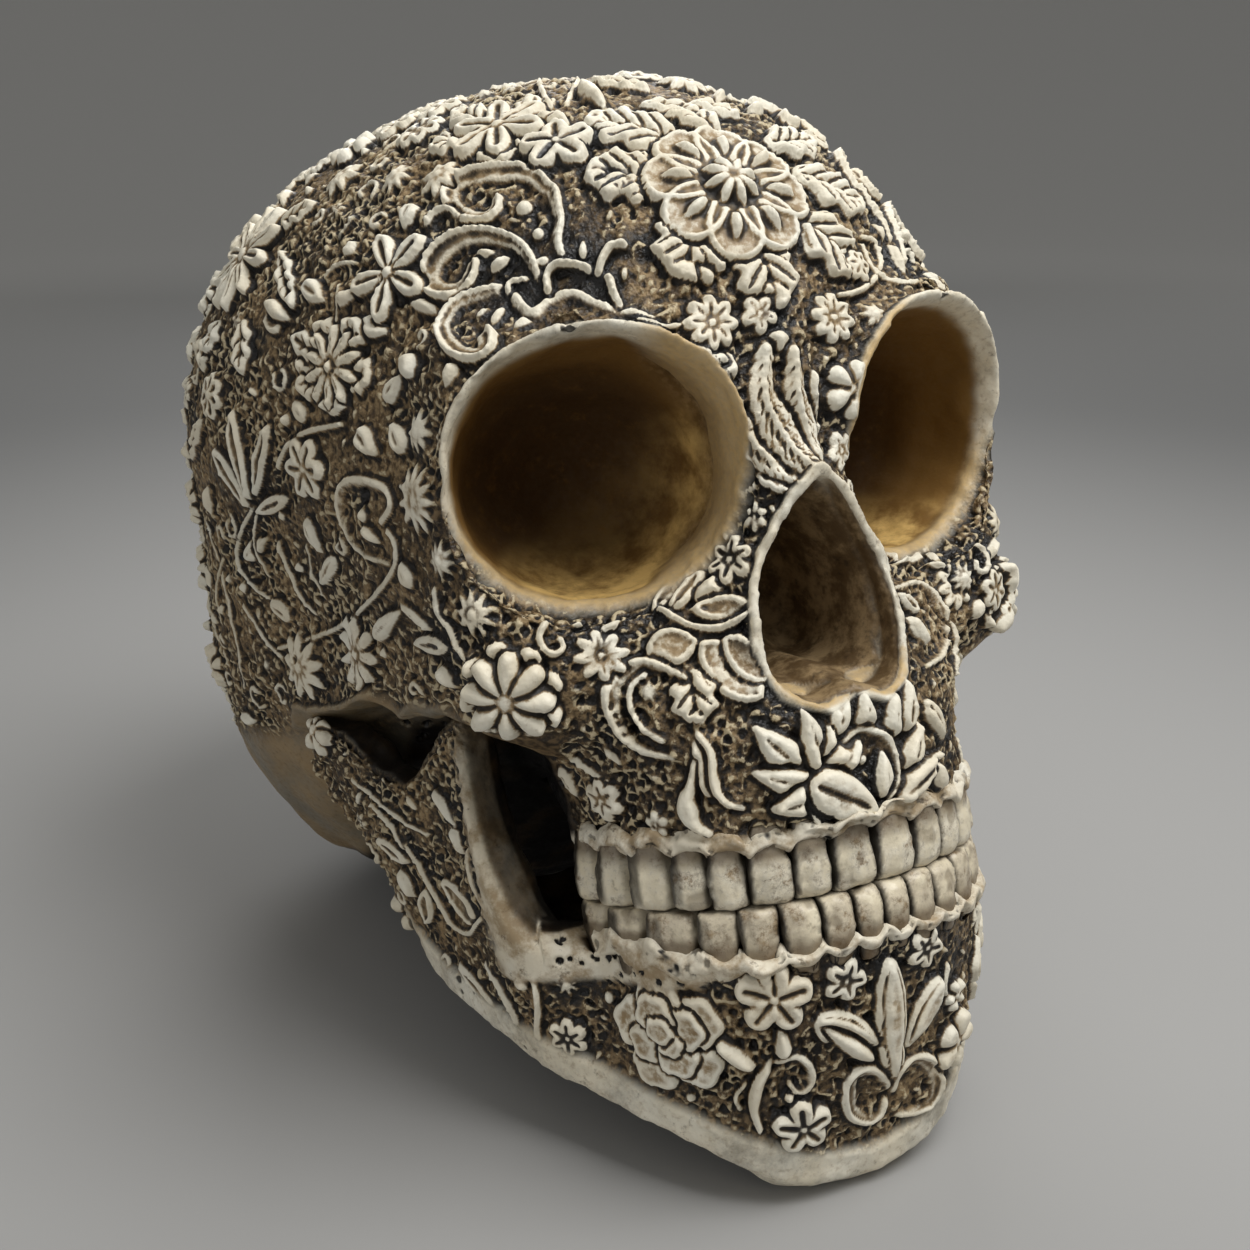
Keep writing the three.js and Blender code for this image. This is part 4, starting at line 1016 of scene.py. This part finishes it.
class Recipe:
    """A material put together node by node."""

    def __init__(self, name):
        self.material = bpy.data.materials.new(name)
        self.material.use_nodes = True
        self.tree = self.material.node_tree
        self.tree.nodes.clear()
        self.output = self.tree.nodes.new("ShaderNodeOutputMaterial")
        self.shader = self.tree.nodes.new("ShaderNodeBsdfPrincipled")
        self.tree.links.new(self.shader.outputs[0], self.output.inputs[0])
        self.place = self.tree.nodes.new("ShaderNodeTexCoord").outputs["Object"]

    def put(self, socket, value):
        if isinstance(value, bpy.types.NodeSocket):
            self.tree.links.new(value, socket)
        else:
            socket.default_value = value

    def read(self, name):
        node = self.tree.nodes.new("ShaderNodeAttribute")
        node.attribute_name = name
        return node.outputs["Fac"]

    def grain(self, scale, detail=4.0, roughness=0.6):
        node = self.tree.nodes.new("ShaderNodeTexNoise")
        self.put(node.inputs["Vector"], self.place)
        node.inputs["Scale"].default_value = scale
        node.inputs["Detail"].default_value = detail
        node.inputs["Roughness"].default_value = roughness
        return node.outputs["Fac"]

    def cells(self, scale):
        node = self.tree.nodes.new("ShaderNodeTexVoronoi")
        self.put(node.inputs["Vector"], self.place)
        node.inputs["Scale"].default_value = scale
        return node.outputs["Distance"]

    def sum(self, operation, a, b):
        node = self.tree.nodes.new("ShaderNodeMath")
        node.operation = operation
        self.put(node.inputs[0], a)
        self.put(node.inputs[1], b)
        return node.outputs[0]

    def times(self, a, b):
        return self.sum("MULTIPLY", a, b)

    def plus(self, a, b):
        return self.sum("ADD", a, b)

    def range(self, value, low, high, to_low=0.0, to_high=1.0):
        node = self.tree.nodes.new("ShaderNodeMapRange")
        node.interpolation_type = "SMOOTHSTEP"
        for socket, v in zip(node.inputs, (value, low, high, to_low, to_high)):
            self.put(socket, v)
        return node.outputs[0]

    def mix(self, share, a, b):
        node = self.tree.nodes.new("ShaderNodeMix")
        node.data_type = "RGBA"
        self.put(node.inputs["Factor"], share)
        for socket, v in zip((s for s in node.inputs if s.type == "RGBA"), (a, b)):
            self.put(socket, v if isinstance(v, bpy.types.NodeSocket) else (*v, 1.0))
        return next(s for s in node.outputs if s.type == "RGBA")

    def bump(self, height, distance, strength=1.0):
        node = self.tree.nodes.new("ShaderNodeBump")
        node.inputs["Distance"].default_value = distance
        node.inputs["Strength"].default_value = strength
        self.put(node.inputs["Height"], height)
        self.put(self.shader.inputs["Normal"], node.outputs[0])


def carved_resin(colours):
    """Cast resin with a brown and black wash in its hollows, deepened into painted shade round the foot of
    the ornament, its high places rubbed back to ivory; in the eye sockets, painted shade deeper in and
    painted light on the faces that look up.
    """
    r = Recipe("washed_resin")
    crest, level, raised = r.read("crest"), r.read("level"), r.read("raised")
    bowl, depth, rim, nose = r.read("bowl"), r.read("depth"), r.read("rim"), r.read("nose")
    fine, patch, speck = r.grain(900), r.grain(70), r.grain(2600, 2.0)
    ground = r.mix(r.range(fine, 0.4, 0.6), colours.brown, colours.tan)
    deeper = r.mix(r.range(fine, 0.4, 0.65), colours.dark, colours.brown)
    ground = r.mix(r.range(patch, 0.42, 0.6, 0.0, 0.8), ground, deeper)
    ground = r.mix(r.range(r.plus(crest, r.times(speck, 0.6)), 0.42, 0.74), ground, colours.sand)
    ground = r.mix(r.range(r.read("pit"), 0.05, 0.5, 0.0, 0.95), ground, colours.dark)
    # Dark wash with painted shade round the foot of the ornament.
    ground = r.mix(r.range(r.read("foot_wash_and_shade"), 0.15, 0.8, 0.0, 0.85), ground, colours.dark)
    pale = r.mix(r.range(patch, 0.35, 0.7), colours.ivory, colours.cream)
    pale = r.mix(r.range(fine, 0.55, 0.8, 0.0, 0.35), pale, colours.tan)
    top = r.range(r.plus(r.times(level, 0.9), r.times(crest, 0.6)), -0.1, 0.5)
    flat = r.mix(r.range(r.plus(fine, crest), 0.35, 0.75), colours.tan, pale)
    colour = r.mix(r.range(raised, 0.25, 0.6), ground, flat)
    colour = r.mix(r.times(top, r.range(raised, 0.15, 0.6)), colour, pale)
    sunk = r.range(r.times(crest, -1.0), 0.04, 0.38)
    low = r.range(r.times(level, -1.0), 0.05, 0.6)
    colour = r.mix(r.times(low, r.range(r.read("high"), 0.0, 1.0, 0.75, 0.97)), colour, colours.dark)
    colour = r.mix(r.times(sunk, 0.9), colour, colours.dark)
    black = r.times(r.read("soot"), r.range(r.plus(level, r.times(crest, 0.8)), 0.35, -0.1))
    colour = r.mix(r.times(black, 0.95), colour, colours.black)
    bone = r.mix(r.range(fine, 0.45, 0.75, 0.0, 0.3), pale, colours.tan)
    bone = r.mix(r.range(r.grain(55, 7.0, 0.72), 0.46, 0.72, 0.0, 0.75), bone, colours.stone)
    bone = r.mix(r.range(r.grain(420, 5.0, 0.75), 0.56, 0.72, 0.0, 0.6), bone, colours.brown)
    varnish = r.mix(r.range(fine, 0.3, 0.7, 0.3, 0.6), colours.tan, colours.amber)
    bone = r.mix(r.range(r.read("stain"), 0.0, 1.0, 0.0, 0.85), bone, varnish)
    colour = r.mix(rim, colour, bone)
    plain = r.mix(r.range(patch, 0.25, 0.55), colours.brown, colours.dark)
    colour = r.mix(r.read("fossa"), colour, plain)
    stained = r.mix(r.range(r.grain(45, 6.0, 0.7), 0.35, 0.65), colours.tan, colours.stone)
    stained = r.mix(r.range(fine, 0.5, 0.8, 0.0, 0.5), stained, colours.brown)
    colour = r.mix(r.read("nape"), colour, stained)
    gum = r.mix(r.range(r.grain(150, 5.0, 0.7), 0.42, 0.66, 0.15, 0.9), pale, colours.tan)
    gum = r.mix(r.range(r.grain(420, 5.0, 0.7), 0.58, 0.7, 0.0, 0.7), gum, colours.brown)
    colour = r.mix(r.read("gum"), colour, r.mix(r.range(crest, -0.5, -0.15), colours.dark, gum))
    amber = r.mix(r.range(r.grain(110, 5.0, 0.65), 0.35, 0.7), colours.amber, colours.umber)
    # Painted shade in the sockets: the deeper a point lies, the more the varnish is darkened to umber and
    # then to the deepest shade colour.
    deep = r.mix(r.range(depth, -0.3, 0.15), amber, colours.umber)
    deep = r.mix(r.range(depth, 0.25, 0.75, 0.0, 0.9), deep, colours.pitch)
    # Painted light: the socket faces that look up and outwards turn back to the lighter amber, less so deep
    # in.
    amber = r.mix(r.times(r.read("floor"), r.range(depth, 0.3, 0.9, 1.0, 0.1)), deep, amber)
    amber = r.mix(r.range(r.grain(300, 6.0, 0.7), 0.52, 0.75, 0.0, 0.5), amber, colours.umber)
    colour = r.mix(bowl, colour, amber)
    cavern = r.mix(r.range(r.grain(160, 5.0, 0.7), 0.35, 0.6), colours.tan, colours.brown)
    colour = r.mix(nose, colour, r.mix(r.range(r.grain(500), 0.55, 0.75, 0.0, 0.6), cavern, colours.dark))
    colour = r.mix(r.range(r.read("hole"), 0.2, 0.7, 0.0, 0.92), colour, colours.dark)
    r.put(r.shader.inputs["Base Color"], colour)
    gloss = r.range(fine, 0.3, 0.7, 0.42, 0.62)
    gloss = r.plus(gloss, r.sum("SUBTRACT", r.times(bowl, 0.3), r.times(black, 0.16)))
    r.put(r.shader.inputs["Roughness"], gloss)
    r.shader.inputs["Specular IOR Level"].default_value = 0.4
    stipple = r.plus(r.times(r.grain(2200, 3.0), 0.5), r.times(r.cells(1500), 0.5))
    share = r.range(r.read("carved"), 0.0, 1.0, 0.12, 1.0)
    share = r.times(share, r.range(raised, 0.2, 0.7, 1.0, 0.25))
    r.bump(r.times(stipple, share), 0.0006, 0.7)
    return r.material


def tooth_resin(colours):
    """The teeth: ivory, browner towards the gum and in their dents, with painted shade on their sides and
    along the bite.
    """
    r = Recipe("stained_enamel")
    neck, crest = r.read("neck"), r.read("crest")
    fine, patch = r.grain(1100), r.grain(190, 5.0, 0.65)
    colour = r.mix(r.range(patch, 0.4, 0.66), colours.tooth, colours.cream)
    colour = r.mix(r.range(patch, 0.53, 0.66, 0.0, 0.85), colour, colours.tan)
    colour = r.mix(r.range(r.grain(310, 4.0, 0.6), 0.6, 0.72, 0.0, 0.6), colour, colours.brown)
    colour = r.mix(r.range(fine, 0.5, 0.75, 0.0, 0.3), colour, colours.brown)
    colour = r.mix(r.times(r.read("stain"), r.range(patch, 0.3, 0.6)), colour, colours.tan)
    colour = r.mix(r.range(neck, 0.62, 0.95, 0.0, 0.75), colour, colours.brown)
    # Painted shade along the bite, where the upper and lower rows meet.
    colour = r.mix(r.range(neck, 0.07, 0.0, 0.0, 0.9), colour, colours.dark)
    colour = r.mix(r.range(r.times(crest, -1.0), 0.25, 0.9, 0.0, 0.45), colour, colours.brown)
    lines = r.sum("ABSOLUTE", r.sum("SUBTRACT", r.grain(420, 5.0, 0.7), 0.5), 0.0)
    cracks = r.range(lines, 0.012, 0.035, 0.55, 0.0)
    colour = r.mix(r.times(cracks, r.range(patch, 0.45, 0.65)), colour, colours.brown)
    # Painted shade on the tooth's sides, between neighbouring teeth.
    colour = r.mix(r.read("side_shade"), colour, colours.dark)
    r.put(r.shader.inputs["Base Color"], colour)
    r.put(r.shader.inputs["Roughness"], r.range(fine, 0.3, 0.7, 0.34, 0.52))
    r.shader.inputs["Specular IOR Level"].default_value = 0.45
    r.bump(r.plus(r.times(fine, 0.5), r.times(patch, 0.5)), 0.0005, 0.5)
    return r.material


def colour_property(name, description, *value):
    return bpy.props.FloatVectorProperty(name=name, description=description, default=srgb(*value),
                                         subtype="COLOR", size=3, min=0, max=1)


def length_property(name, description, value, low, high):
    return bpy.props.FloatProperty(name=name, description=description, default=value * MM, min=low * MM,
                                   max=high * MM, unit="LENGTH", precision=5)


def power_property(name, description, value):
    return bpy.props.FloatProperty(name=name, description=description, default=value, min=0, unit="POWER")


class SkullSizes(bpy.types.PropertyGroup):
    """Sizes of the carving."""

    spacing: length_property("Net", "Distance between the points of the skin before it is made finer",
                             0.92, 0.6, 3)
    relief: bpy.props.FloatProperty(name="Relief",
                                    description="How high the ornament stands, as a share of its own height",
                                    default=0.88, min=0.2, max=1.5, subtype="FACTOR")
    sink: length_property("Sink", "How far the ground lies under the smooth form", 1.8, 0, 3)
    trench: length_property("Trench", "Depth of the ground close round the ornament", 0.45, 0, 1.5)
    pit_depth: length_property("Pits", "Depth of the pits in the ground", 0.8, 0, 1.5)
    pit_spacing: length_property("Pit spacing", "Distance between pits in the ground", 1.9, 0.5, 5)


class SkullColours(bpy.types.PropertyGroup):
    """Colours of the resin and its washes."""

    ivory: colour_property("Ivory", "High places, rubbed back to the resin", 234, 224, 200)
    cream: colour_property("Cream", "Lighter patches of the high places", 242, 237, 220)
    tan: colour_property("Tan", "Light wash of the ground", 156, 132, 96)
    sand: colour_property("Sand", "High grains of the ground", 200, 184, 150)
    brown: colour_property("Brown", "Wash of the ground", 90, 70, 44)
    # The dark wash, also used for the painted shade round the foot of the ornament and on the teeth's sides
    # and bite.
    dark: colour_property("Dark wash", "What stays in the hollows", 17, 12, 8)
    black: colour_property("Black", "Black paint behind some of the scrolls", 17, 16, 16)
    amber: colour_property("Amber", "Varnish in the eye sockets", 228, 190, 116)
    # Umber is a darker varnish mixed in at random, and also the first step of the painted shade deeper in the
    # sockets.
    umber: colour_property("Umber", "Deeper varnish in the eye sockets", 118, 85, 34)
    # Painted shade deepest in the eye sockets, not a varnish of its own.
    pitch: colour_property("Pitch", "Deepest varnish in the eye sockets", 60, 39, 13)
    stone: colour_property("Stone", "Grey stain of the nape", 128, 120, 104)
    tooth: colour_property("Tooth", "Enamel", 232, 221, 194)


class SkullStage(bpy.types.PropertyGroup):
    """The studio round the skull."""

    floor_size: bpy.props.FloatProperty(name="Floor", description="Width of the flat of the floor",
                                        default=2.6, min=1, unit="LENGTH")
    dish_curve: bpy.props.FloatProperty(name="Sweep",
                                        description="Radius of the curve that takes the floor up all round",
                                        default=1.3, min=0.1, unit="LENGTH")
    floor_colour: colour_property("Floor colour", "The pale floor", 162, 161, 159)
    # Painted shade on the floor: away from the object it is painted darker, standing in for the light falling
    # off.
    far_colour: colour_property("Far floor", "The floor behind the object, out of the light", 119, 119, 118)
    # Painted light on the sweep: where the floor rises all round, it is painted lighter again.
    sweep_colour: colour_property("Sweep colour", "The floor where it rises all round", 184, 183, 181)
    world_light: bpy.props.FloatProperty(name="World light",
                                         description="Strength of the light from all round",
                                         default=0.6, min=0, max=2)
    key_power: power_property("Key light", "Power of the large light above", 5.5)
    fill_power: power_property("Fill light", "Power of the light on the left", 0.7)
    back_power: power_property("Back light", "Power of the light behind", 2.0)


def gum_level(row, turn):
    """Height of the gum's margin on the upright skull, by the turn from the middle of the row."""
    turns, levels = GUM_LEVELS[row]
    return np.interp(np.abs(turn), turns, levels)


def gum_roll(name, carrier, row, towards):
    """The margin of the gum, a strip that follows a row of teeth and laps over their necks in scallops."""
    middles = tooth_middles(row)
    around = np.arctan2(middles[:, 0], -middles[:, 1] - ROW_CENTRE)
    order = np.argsort(around)
    middles, around = middles[order], around[order]
    graph = bpy.context.evaluated_depsgraph_get()
    trees = [BVHTree.FromObject(each, graph)
             for each in (carrier, *(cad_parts[n] for n in teeth_of(row)))]
    turn = np.linspace(around[0] - 0.02, around[-1] + 0.02, GUM_STEPS)
    seat = np.interp(turn, around, np.arange(len(around)))
    share = np.abs(seat - np.round(seat)) * 2
    line = gum_level(row, turn) + towards * (share ** 2 * GUM_POINT - 0.5)
    tall = np.interp(np.abs(turn), (0.35, 0.6), GUM_HEIGHTS[row])
    levels = np.linspace(0, 1, len(GUM_PROFILE))
    radii = np.zeros((len(levels), GUM_STEPS))
    for k, level in enumerate(levels):
        for i, a in enumerate(turn):
            z = line[i] - towards * tall[i] * (1 - level)
            out = np.array([math.sin(a), -math.cos(a), 0.0])
            start = resting(np.array([0, -ROW_CENTRE, z]) + out * RAY_START)
            way = (resting(np.array([0, -ROW_CENTRE, z])) - start).normalized()
            hits = [tree.ray_cast(start, way)[3] for tree in trees]
            hits = [h for h in hits if h is not None]
            radii[k, i] = RAY_START - (min(hits) / MM if hits else RAY_START)
    ease = np.ones(7) / 7
    for k in range(len(levels)):
        widest = np.max([np.roll(radii[k], i) for i in range(-4, 5)], axis=0)
        radii[k] = np.convolve(np.pad(widest, 3, mode="edge"), ease, "valid") + GUM_PROFILE[k]
    points, faces = [], []
    for k, level in enumerate(levels):
        for i, a in enumerate(turn):
            z = line[i] - towards * tall[i] * (1 - level)
            out = np.array([math.sin(a), -math.cos(a), 0.0])
            points.append(resting(np.array([0, -ROW_CENTRE, z]) + out * radii[k, i]))
    for k in range(len(levels) - 1):
        for i in range(GUM_STEPS - 1):
            j = k * GUM_STEPS + i
            ring = (j, j + 1, j + GUM_STEPS + 1, j + GUM_STEPS)
            faces.append(ring if towards > 0 else ring[::-1])
    mesh = bpy.data.meshes.new(name)
    mesh.from_pydata(points, [], faces)
    roll = bpy.data.objects.new(name, mesh)
    bpy.context.scene.collection.objects.link(roll)
    fuller = roll.modifiers.new("fuller", "SUBSURF")
    fuller.levels = fuller.render_levels = 1
    settle(roll)
    mesh = roll.data
    mesh.shade_smooth()
    co, no = points_of(mesh), normals_of(mesh)
    rough = drift(co, 2.4, 31) * 0.2 + drift(co, 1.0, 32) * 0.1
    pits = soft(drift(co, 1.2, 33), 0.75, 1.0)
    co += no * ((rough - pits * 0.4) * MM)[:, None]
    move(mesh, co)
    keep(roll, "gum", np.ones(len(co)))
    keep(roll, "crest", np.clip(rough * 2 + 0.2, -1, 1))
    keep(roll, "hole", pits * 0.5)
    mesh.materials.append(resin())
    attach(roll, "root")
    return roll


def scallop(piece, row, gum, towards):
    """Draws the gum's edge out between a row's teeth, towards the bite, and rolls it over their necks."""
    middles = tooth_middles(row)[:, :2]
    middles = middles[np.argsort(np.arctan2(middles[:, 0], -middles[:, 1] - ORDER_CENTRE))]
    along = np.gradient(middles, axis=0)
    half = np.linalg.norm(along, axis=1) / 2
    along /= half[:, None] * 2
    outward = np.stack([along[:, 1], -along[:, 0]], 1)
    outward *= np.sign(np.einsum("ij,ij->i", outward, middles + np.array([0, 30])))[:, None]
    mesh = piece.data
    co = points_of(mesh)
    up = upright(co)
    near = np.nonzero((np.abs(up[:, 2] - gum) < 7) & (up[:, 1] < -40))[0]
    away = up[near, None, :2] - middles[None]
    far = np.linalg.norm(away, axis=2)
    own = far.argmin(1)
    rows = np.arange(len(near))
    step = np.abs(np.einsum("ij,ij->i", away[rows, own], along[own])) / half[own]
    out = np.einsum("ij,ij->i", away[rows, own], outward[own])
    reached = (far[rows, own] < 12) & (step < 2)
    edge = soft(-np.abs(up[near, 2] - gum), -5.5, -0.8) * reached
    rear = soft(-up[near, 1], 78, 58) if row == "upper_" else 0.3
    drop = (np.clip(step, 0, 1.1) ** 2 * GUM_POINT - 0.3 + GUM_REAR * rear) * edge * towards
    push = GUM_COLLAR * edge * soft(out, 0.5, 3.0)
    shift = np.stack([outward[own, 0] * push, outward[own, 1] * push, drop], 1) * MM
    c, s = math.cos(REST_PITCH), math.sin(REST_PITCH)
    co[near, 0] += shift[:, 0]
    co[near, 1] += c * shift[:, 1] + s * shift[:, 2]
    co[near, 2] += -s * shift[:, 1] + c * shift[:, 2]
    move(mesh, co)


def resin():
    return bpy.data.materials.get("washed_resin") or carved_resin(bpy.context.scene.skull_colours)


class SKULL_OT_carve_cranium(bpy.types.Operator):
    """Carve the cranium"""

    bl_idname = "skull.carve_cranium"
    bl_label = "Carve cranium"

    def execute(self, context):
        sizes = context.scene.skull_sizes
        piece = even_skin("cranium", "cranium_carved", sizes.spacing, 7, 1)
        scallop(piece, "upper_", UPPER_GUM, -1)
        carving = Carving(piece, {})
        carving.zones = cranium_zones(carving.co, carving.no)
        carve_seen(carving, CRANIUM_FLOWERS, CRANIUM_LEAVES, CRANIUM_RIDGES, CRANIUM_FEATHERS,
                   CRANIUM_PEARLS, CRANIUM_SOOT)
        bore(carving, CRANIUM_HOLES, CRANIUM_PORES, 5)
        middle = Vector((0, 0.005, 0.1))
        fill_rest(carving, cranium_zones, middle, 7,
                  ((11, 160), (8, 300), (5, 700), (3.2, 1600), (2.1, 3000), (1.3, 4500)))
        cut(carving, sizes, 3)
        piece.data.materials.append(resin())
        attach(piece, "root")
        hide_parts("cranium")
        return {"FINISHED"}


class SKULL_OT_carve_jaw(bpy.types.Operator):
    """Carve the lower jaw"""

    bl_idname = "skull.carve_jaw"
    bl_label = "Carve lower jaw"

    def execute(self, context):
        sizes = context.scene.skull_sizes
        piece = even_skin("lower_jaw", "lower_jaw_carved", sizes.spacing * 0.85, 6, 1)
        scallop(piece, "lower_", LOWER_GUM, 1)
        carving = Carving(piece, {})
        carving.zones = jaw_zones(carving.co, carving.no)
        carve_seen(carving, JAW_FLOWERS, JAW_LEAVES, JAW_RIDGES, [], JAW_PEARLS, JAW_SOOT)
        bore(carving, [], JAW_PORES, 6)
        fill_rest(carving, jaw_zones, Vector((0, -0.04, 0.03)), 11,
                  ((5, 200), (3.2, 600), (2.1, 1200), (1.3, 2500)))
        cut(carving, sizes, 5)
        piece.data.materials.append(resin())
        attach(piece, "root")
        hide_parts("lower_jaw")
        return {"FINISHED"}


class SKULL_OT_set_teeth(bpy.types.Operator):
    """Set the 32 teeth"""

    bl_idname = "skull.set_teeth"
    bl_label = "Set teeth"

    def execute(self, context):
        enamel = tooth_resin(context.scene.skull_colours)
        gum_roll("upper_gum", bpy.data.objects["cranium_carved"], "upper_", -1)
        gum_roll("lower_gum", bpy.data.objects["lower_jaw_carved"], "lower_", 1)
        for node in sorted(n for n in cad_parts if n.startswith(("upper_", "lower_"))
                           and n != "lower_jaw"):
            piece = even_skin(node, f"tooth_{node}", 0.55 * MM, 4, 0)
            mesh = piece.data
            co, no = points_of(mesh), normals_of(mesh)
            level = upright(co)[:, 2]
            middle = co.mean(0)
            centre = upright(middle[None])[0]
            gum = gum_level(node[:6], math.atan2(centre[0], -centre[1] - ROW_CENTRE))
            share = np.clip((level - BITE) / (gum - BITE), 0, 1.4)
            out = middle[:2] - np.array([0, -0.02])
            out /= np.linalg.norm(out)
            sideways = np.abs(no[:, 0] * out[1] - no[:, 1] * out[0])
            rough = drift(co, 1.3, 21) * 0.1 + drift(co, 3.0, 22) * 0.16
            swell = TOOTH_SWELL + TOOTH_SPREAD * soft(sideways, 0.4, 0.9) + rough
            co += no * (swell * MM)[:, None]
            move(mesh, co)
            keep(piece, "neck", share)
            keep(piece, "crest", np.clip(rough * 4, -1, 1))
            # Painted shade on the sides of each tooth, where it meets its neighbours.
            keep(piece, "side_shade", soft(sideways, 0.66, 0.92) * 0.92)
            keep(piece, "stain", np.full(len(co), 0.15 if node.startswith("upper") else 0.5))
            mesh.materials.append(enamel)
            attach(piece, "root")
            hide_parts(node)
        return {"FINISHED"}


class SKULL_OT_set_stage(bpy.types.Operator):
    """Set the floor, the lights and the camera"""

    bl_idname = "skull.set_stage"
    bl_label = "Set stage"

    def execute(self, context):
        scene, stage = context.scene, context.scene.skull_stage
        mesh = bpy.data.meshes.new("floor")
        turns = [2 * math.pi * i / DISH_SIDES for i in range(DISH_SIDES)]
        bend = [math.pi / 2 * i / DISH_STEPS for i in range(DISH_STEPS + 1)]
        flat, curve = stage.floor_size / 2, stage.dish_curve
        profile = [(flat * i / 4, 0) for i in range(1, 4)]
        profile += [(flat + curve * math.sin(a), curve * (1 - math.cos(a))) for a in bend]
        points = [(0, 0, 0)] + [(r * math.cos(a), r * math.sin(a), z) for r, z in profile for a in turns]
        faces = [(0, 1 + i, 1 + (i + 1) % DISH_SIDES) for i in range(DISH_SIDES)]
        for ring in range(len(profile) - 1):
            start = 1 + ring * DISH_SIDES
            for i in range(DISH_SIDES):
                j = (i + 1) % DISH_SIDES
                faces.append((start + i, start + DISH_SIDES + i, start + DISH_SIDES + j, start + j))
        mesh.from_pydata(points, [], faces)
        mesh.shade_smooth()
        floor = bpy.data.objects.new("floor", mesh)
        scene.collection.objects.link(floor)
        r = Recipe("floor_paper")
        away = r.tree.nodes.new("ShaderNodeVectorMath")
        away.operation = "LENGTH"
        r.put(away.inputs[0], r.place)
        # The floor's colour is graded by distance from its middle: painted shade farther out, and painted
        # light again on the sweep.
        paper = r.mix(r.range(away.outputs["Value"], 0.08, 0.6), stage.floor_colour, stage.far_colour)
        paper = r.mix(r.range(away.outputs["Value"], 0.55, 1.3), paper, stage.sweep_colour)
        r.put(r.shader.inputs["Base Color"], paper)
        r.shader.inputs["Roughness"].default_value = 0.9
        r.shader.inputs["Specular IOR Level"].default_value = 0.1
        mesh.materials.append(r.material)

        world = bpy.data.worlds.new("studio")
        world.use_nodes = True
        background = world.node_tree.nodes["Background"]
        background.inputs["Color"].default_value = (*srgb(186, 186, 184), 1.0)
        background.inputs["Strength"].default_value = stage.world_light
        scene.world = world
        aim = Vector((0, -0.01, 0.08))
        for name, place, size, power in (
            ("key_light", (0.2, -0.3, 0.75), 0.5, stage.key_power),
            ("fill_light", (-0.6, -0.35, 0.25), 0.5, stage.fill_power),
            ("back_light", (0.25, 0.55, 0.5), 0.4, stage.back_power),
        ):
            lamp = bpy.data.lights.new(name, "AREA")
            lamp.size, lamp.energy = size, power
            holder = bpy.data.objects.new(name, lamp)
            holder.location = place
            holder.rotation_euler = (aim - Vector(place)).to_track_quat("-Z", "Y").to_euler()
            scene.collection.objects.link(holder)

        lens = bpy.data.cameras.new("camera")
        lens.sensor_width = SENSOR_WIDTH
        lens.lens = FOCAL_PIXELS * SENSOR_WIDTH / PHOTO_WIDTH
        lens.clip_start, lens.clip_end = 0.01, 50
        camera = bpy.data.objects.new("camera", lens)
        turn = Matrix((CAMERA_RIGHT, CAMERA_UP, CAMERA_BACK)).transposed()
        camera.matrix_world = Matrix.Translation(CAMERA_PLACE) @ turn.to_4x4()
        scene.collection.objects.link(camera)
        scene.camera = camera
        scene.view_settings.view_transform = "Standard"
        return {"FINISHED"}


STEPS = (SKULL_OT_set_stage, SKULL_OT_carve_cranium, SKULL_OT_carve_jaw, SKULL_OT_set_teeth)


class SKULL_PT_panel(bpy.types.Panel):
    """What the skull is made from"""

    bl_idname = "SKULL_PT_panel"
    bl_label = "Carved skull"
    bl_space_type = "VIEW_3D"
    bl_region_type = "UI"
    bl_category = "Skull"

    def draw(self, context):
        for group in (context.scene.skull_sizes, context.scene.skull_colours, context.scene.skull_stage):
            for name in group.bl_rna.properties.keys():
                if name not in ("rna_type", "name"):
                    self.layout.prop(group, name)
        for step in STEPS:
            self.layout.operator(step.bl_idname)


CLASSES = (SkullSizes, SkullColours, SkullStage, *STEPS, SKULL_PT_panel)


def register():
    for each in CLASSES:
        bpy.utils.register_class(each)
    bpy.types.Scene.skull_sizes = bpy.props.PointerProperty(type=SkullSizes)
    bpy.types.Scene.skull_colours = bpy.props.PointerProperty(type=SkullColours)
    bpy.types.Scene.skull_stage = bpy.props.PointerProperty(type=SkullStage)


def unregister():
    del bpy.types.Scene.skull_sizes, bpy.types.Scene.skull_colours, bpy.types.Scene.skull_stage
    for each in reversed(CLASSES):
        bpy.utils.unregister_class(each)


def main():
    register()
    bpy.ops.skull.set_stage()
    bpy.ops.skull.carve_cranium()
    bpy.ops.skull.carve_jaw()
    bpy.ops.skull.set_teeth()


if __name__ == "__main__":
    main()
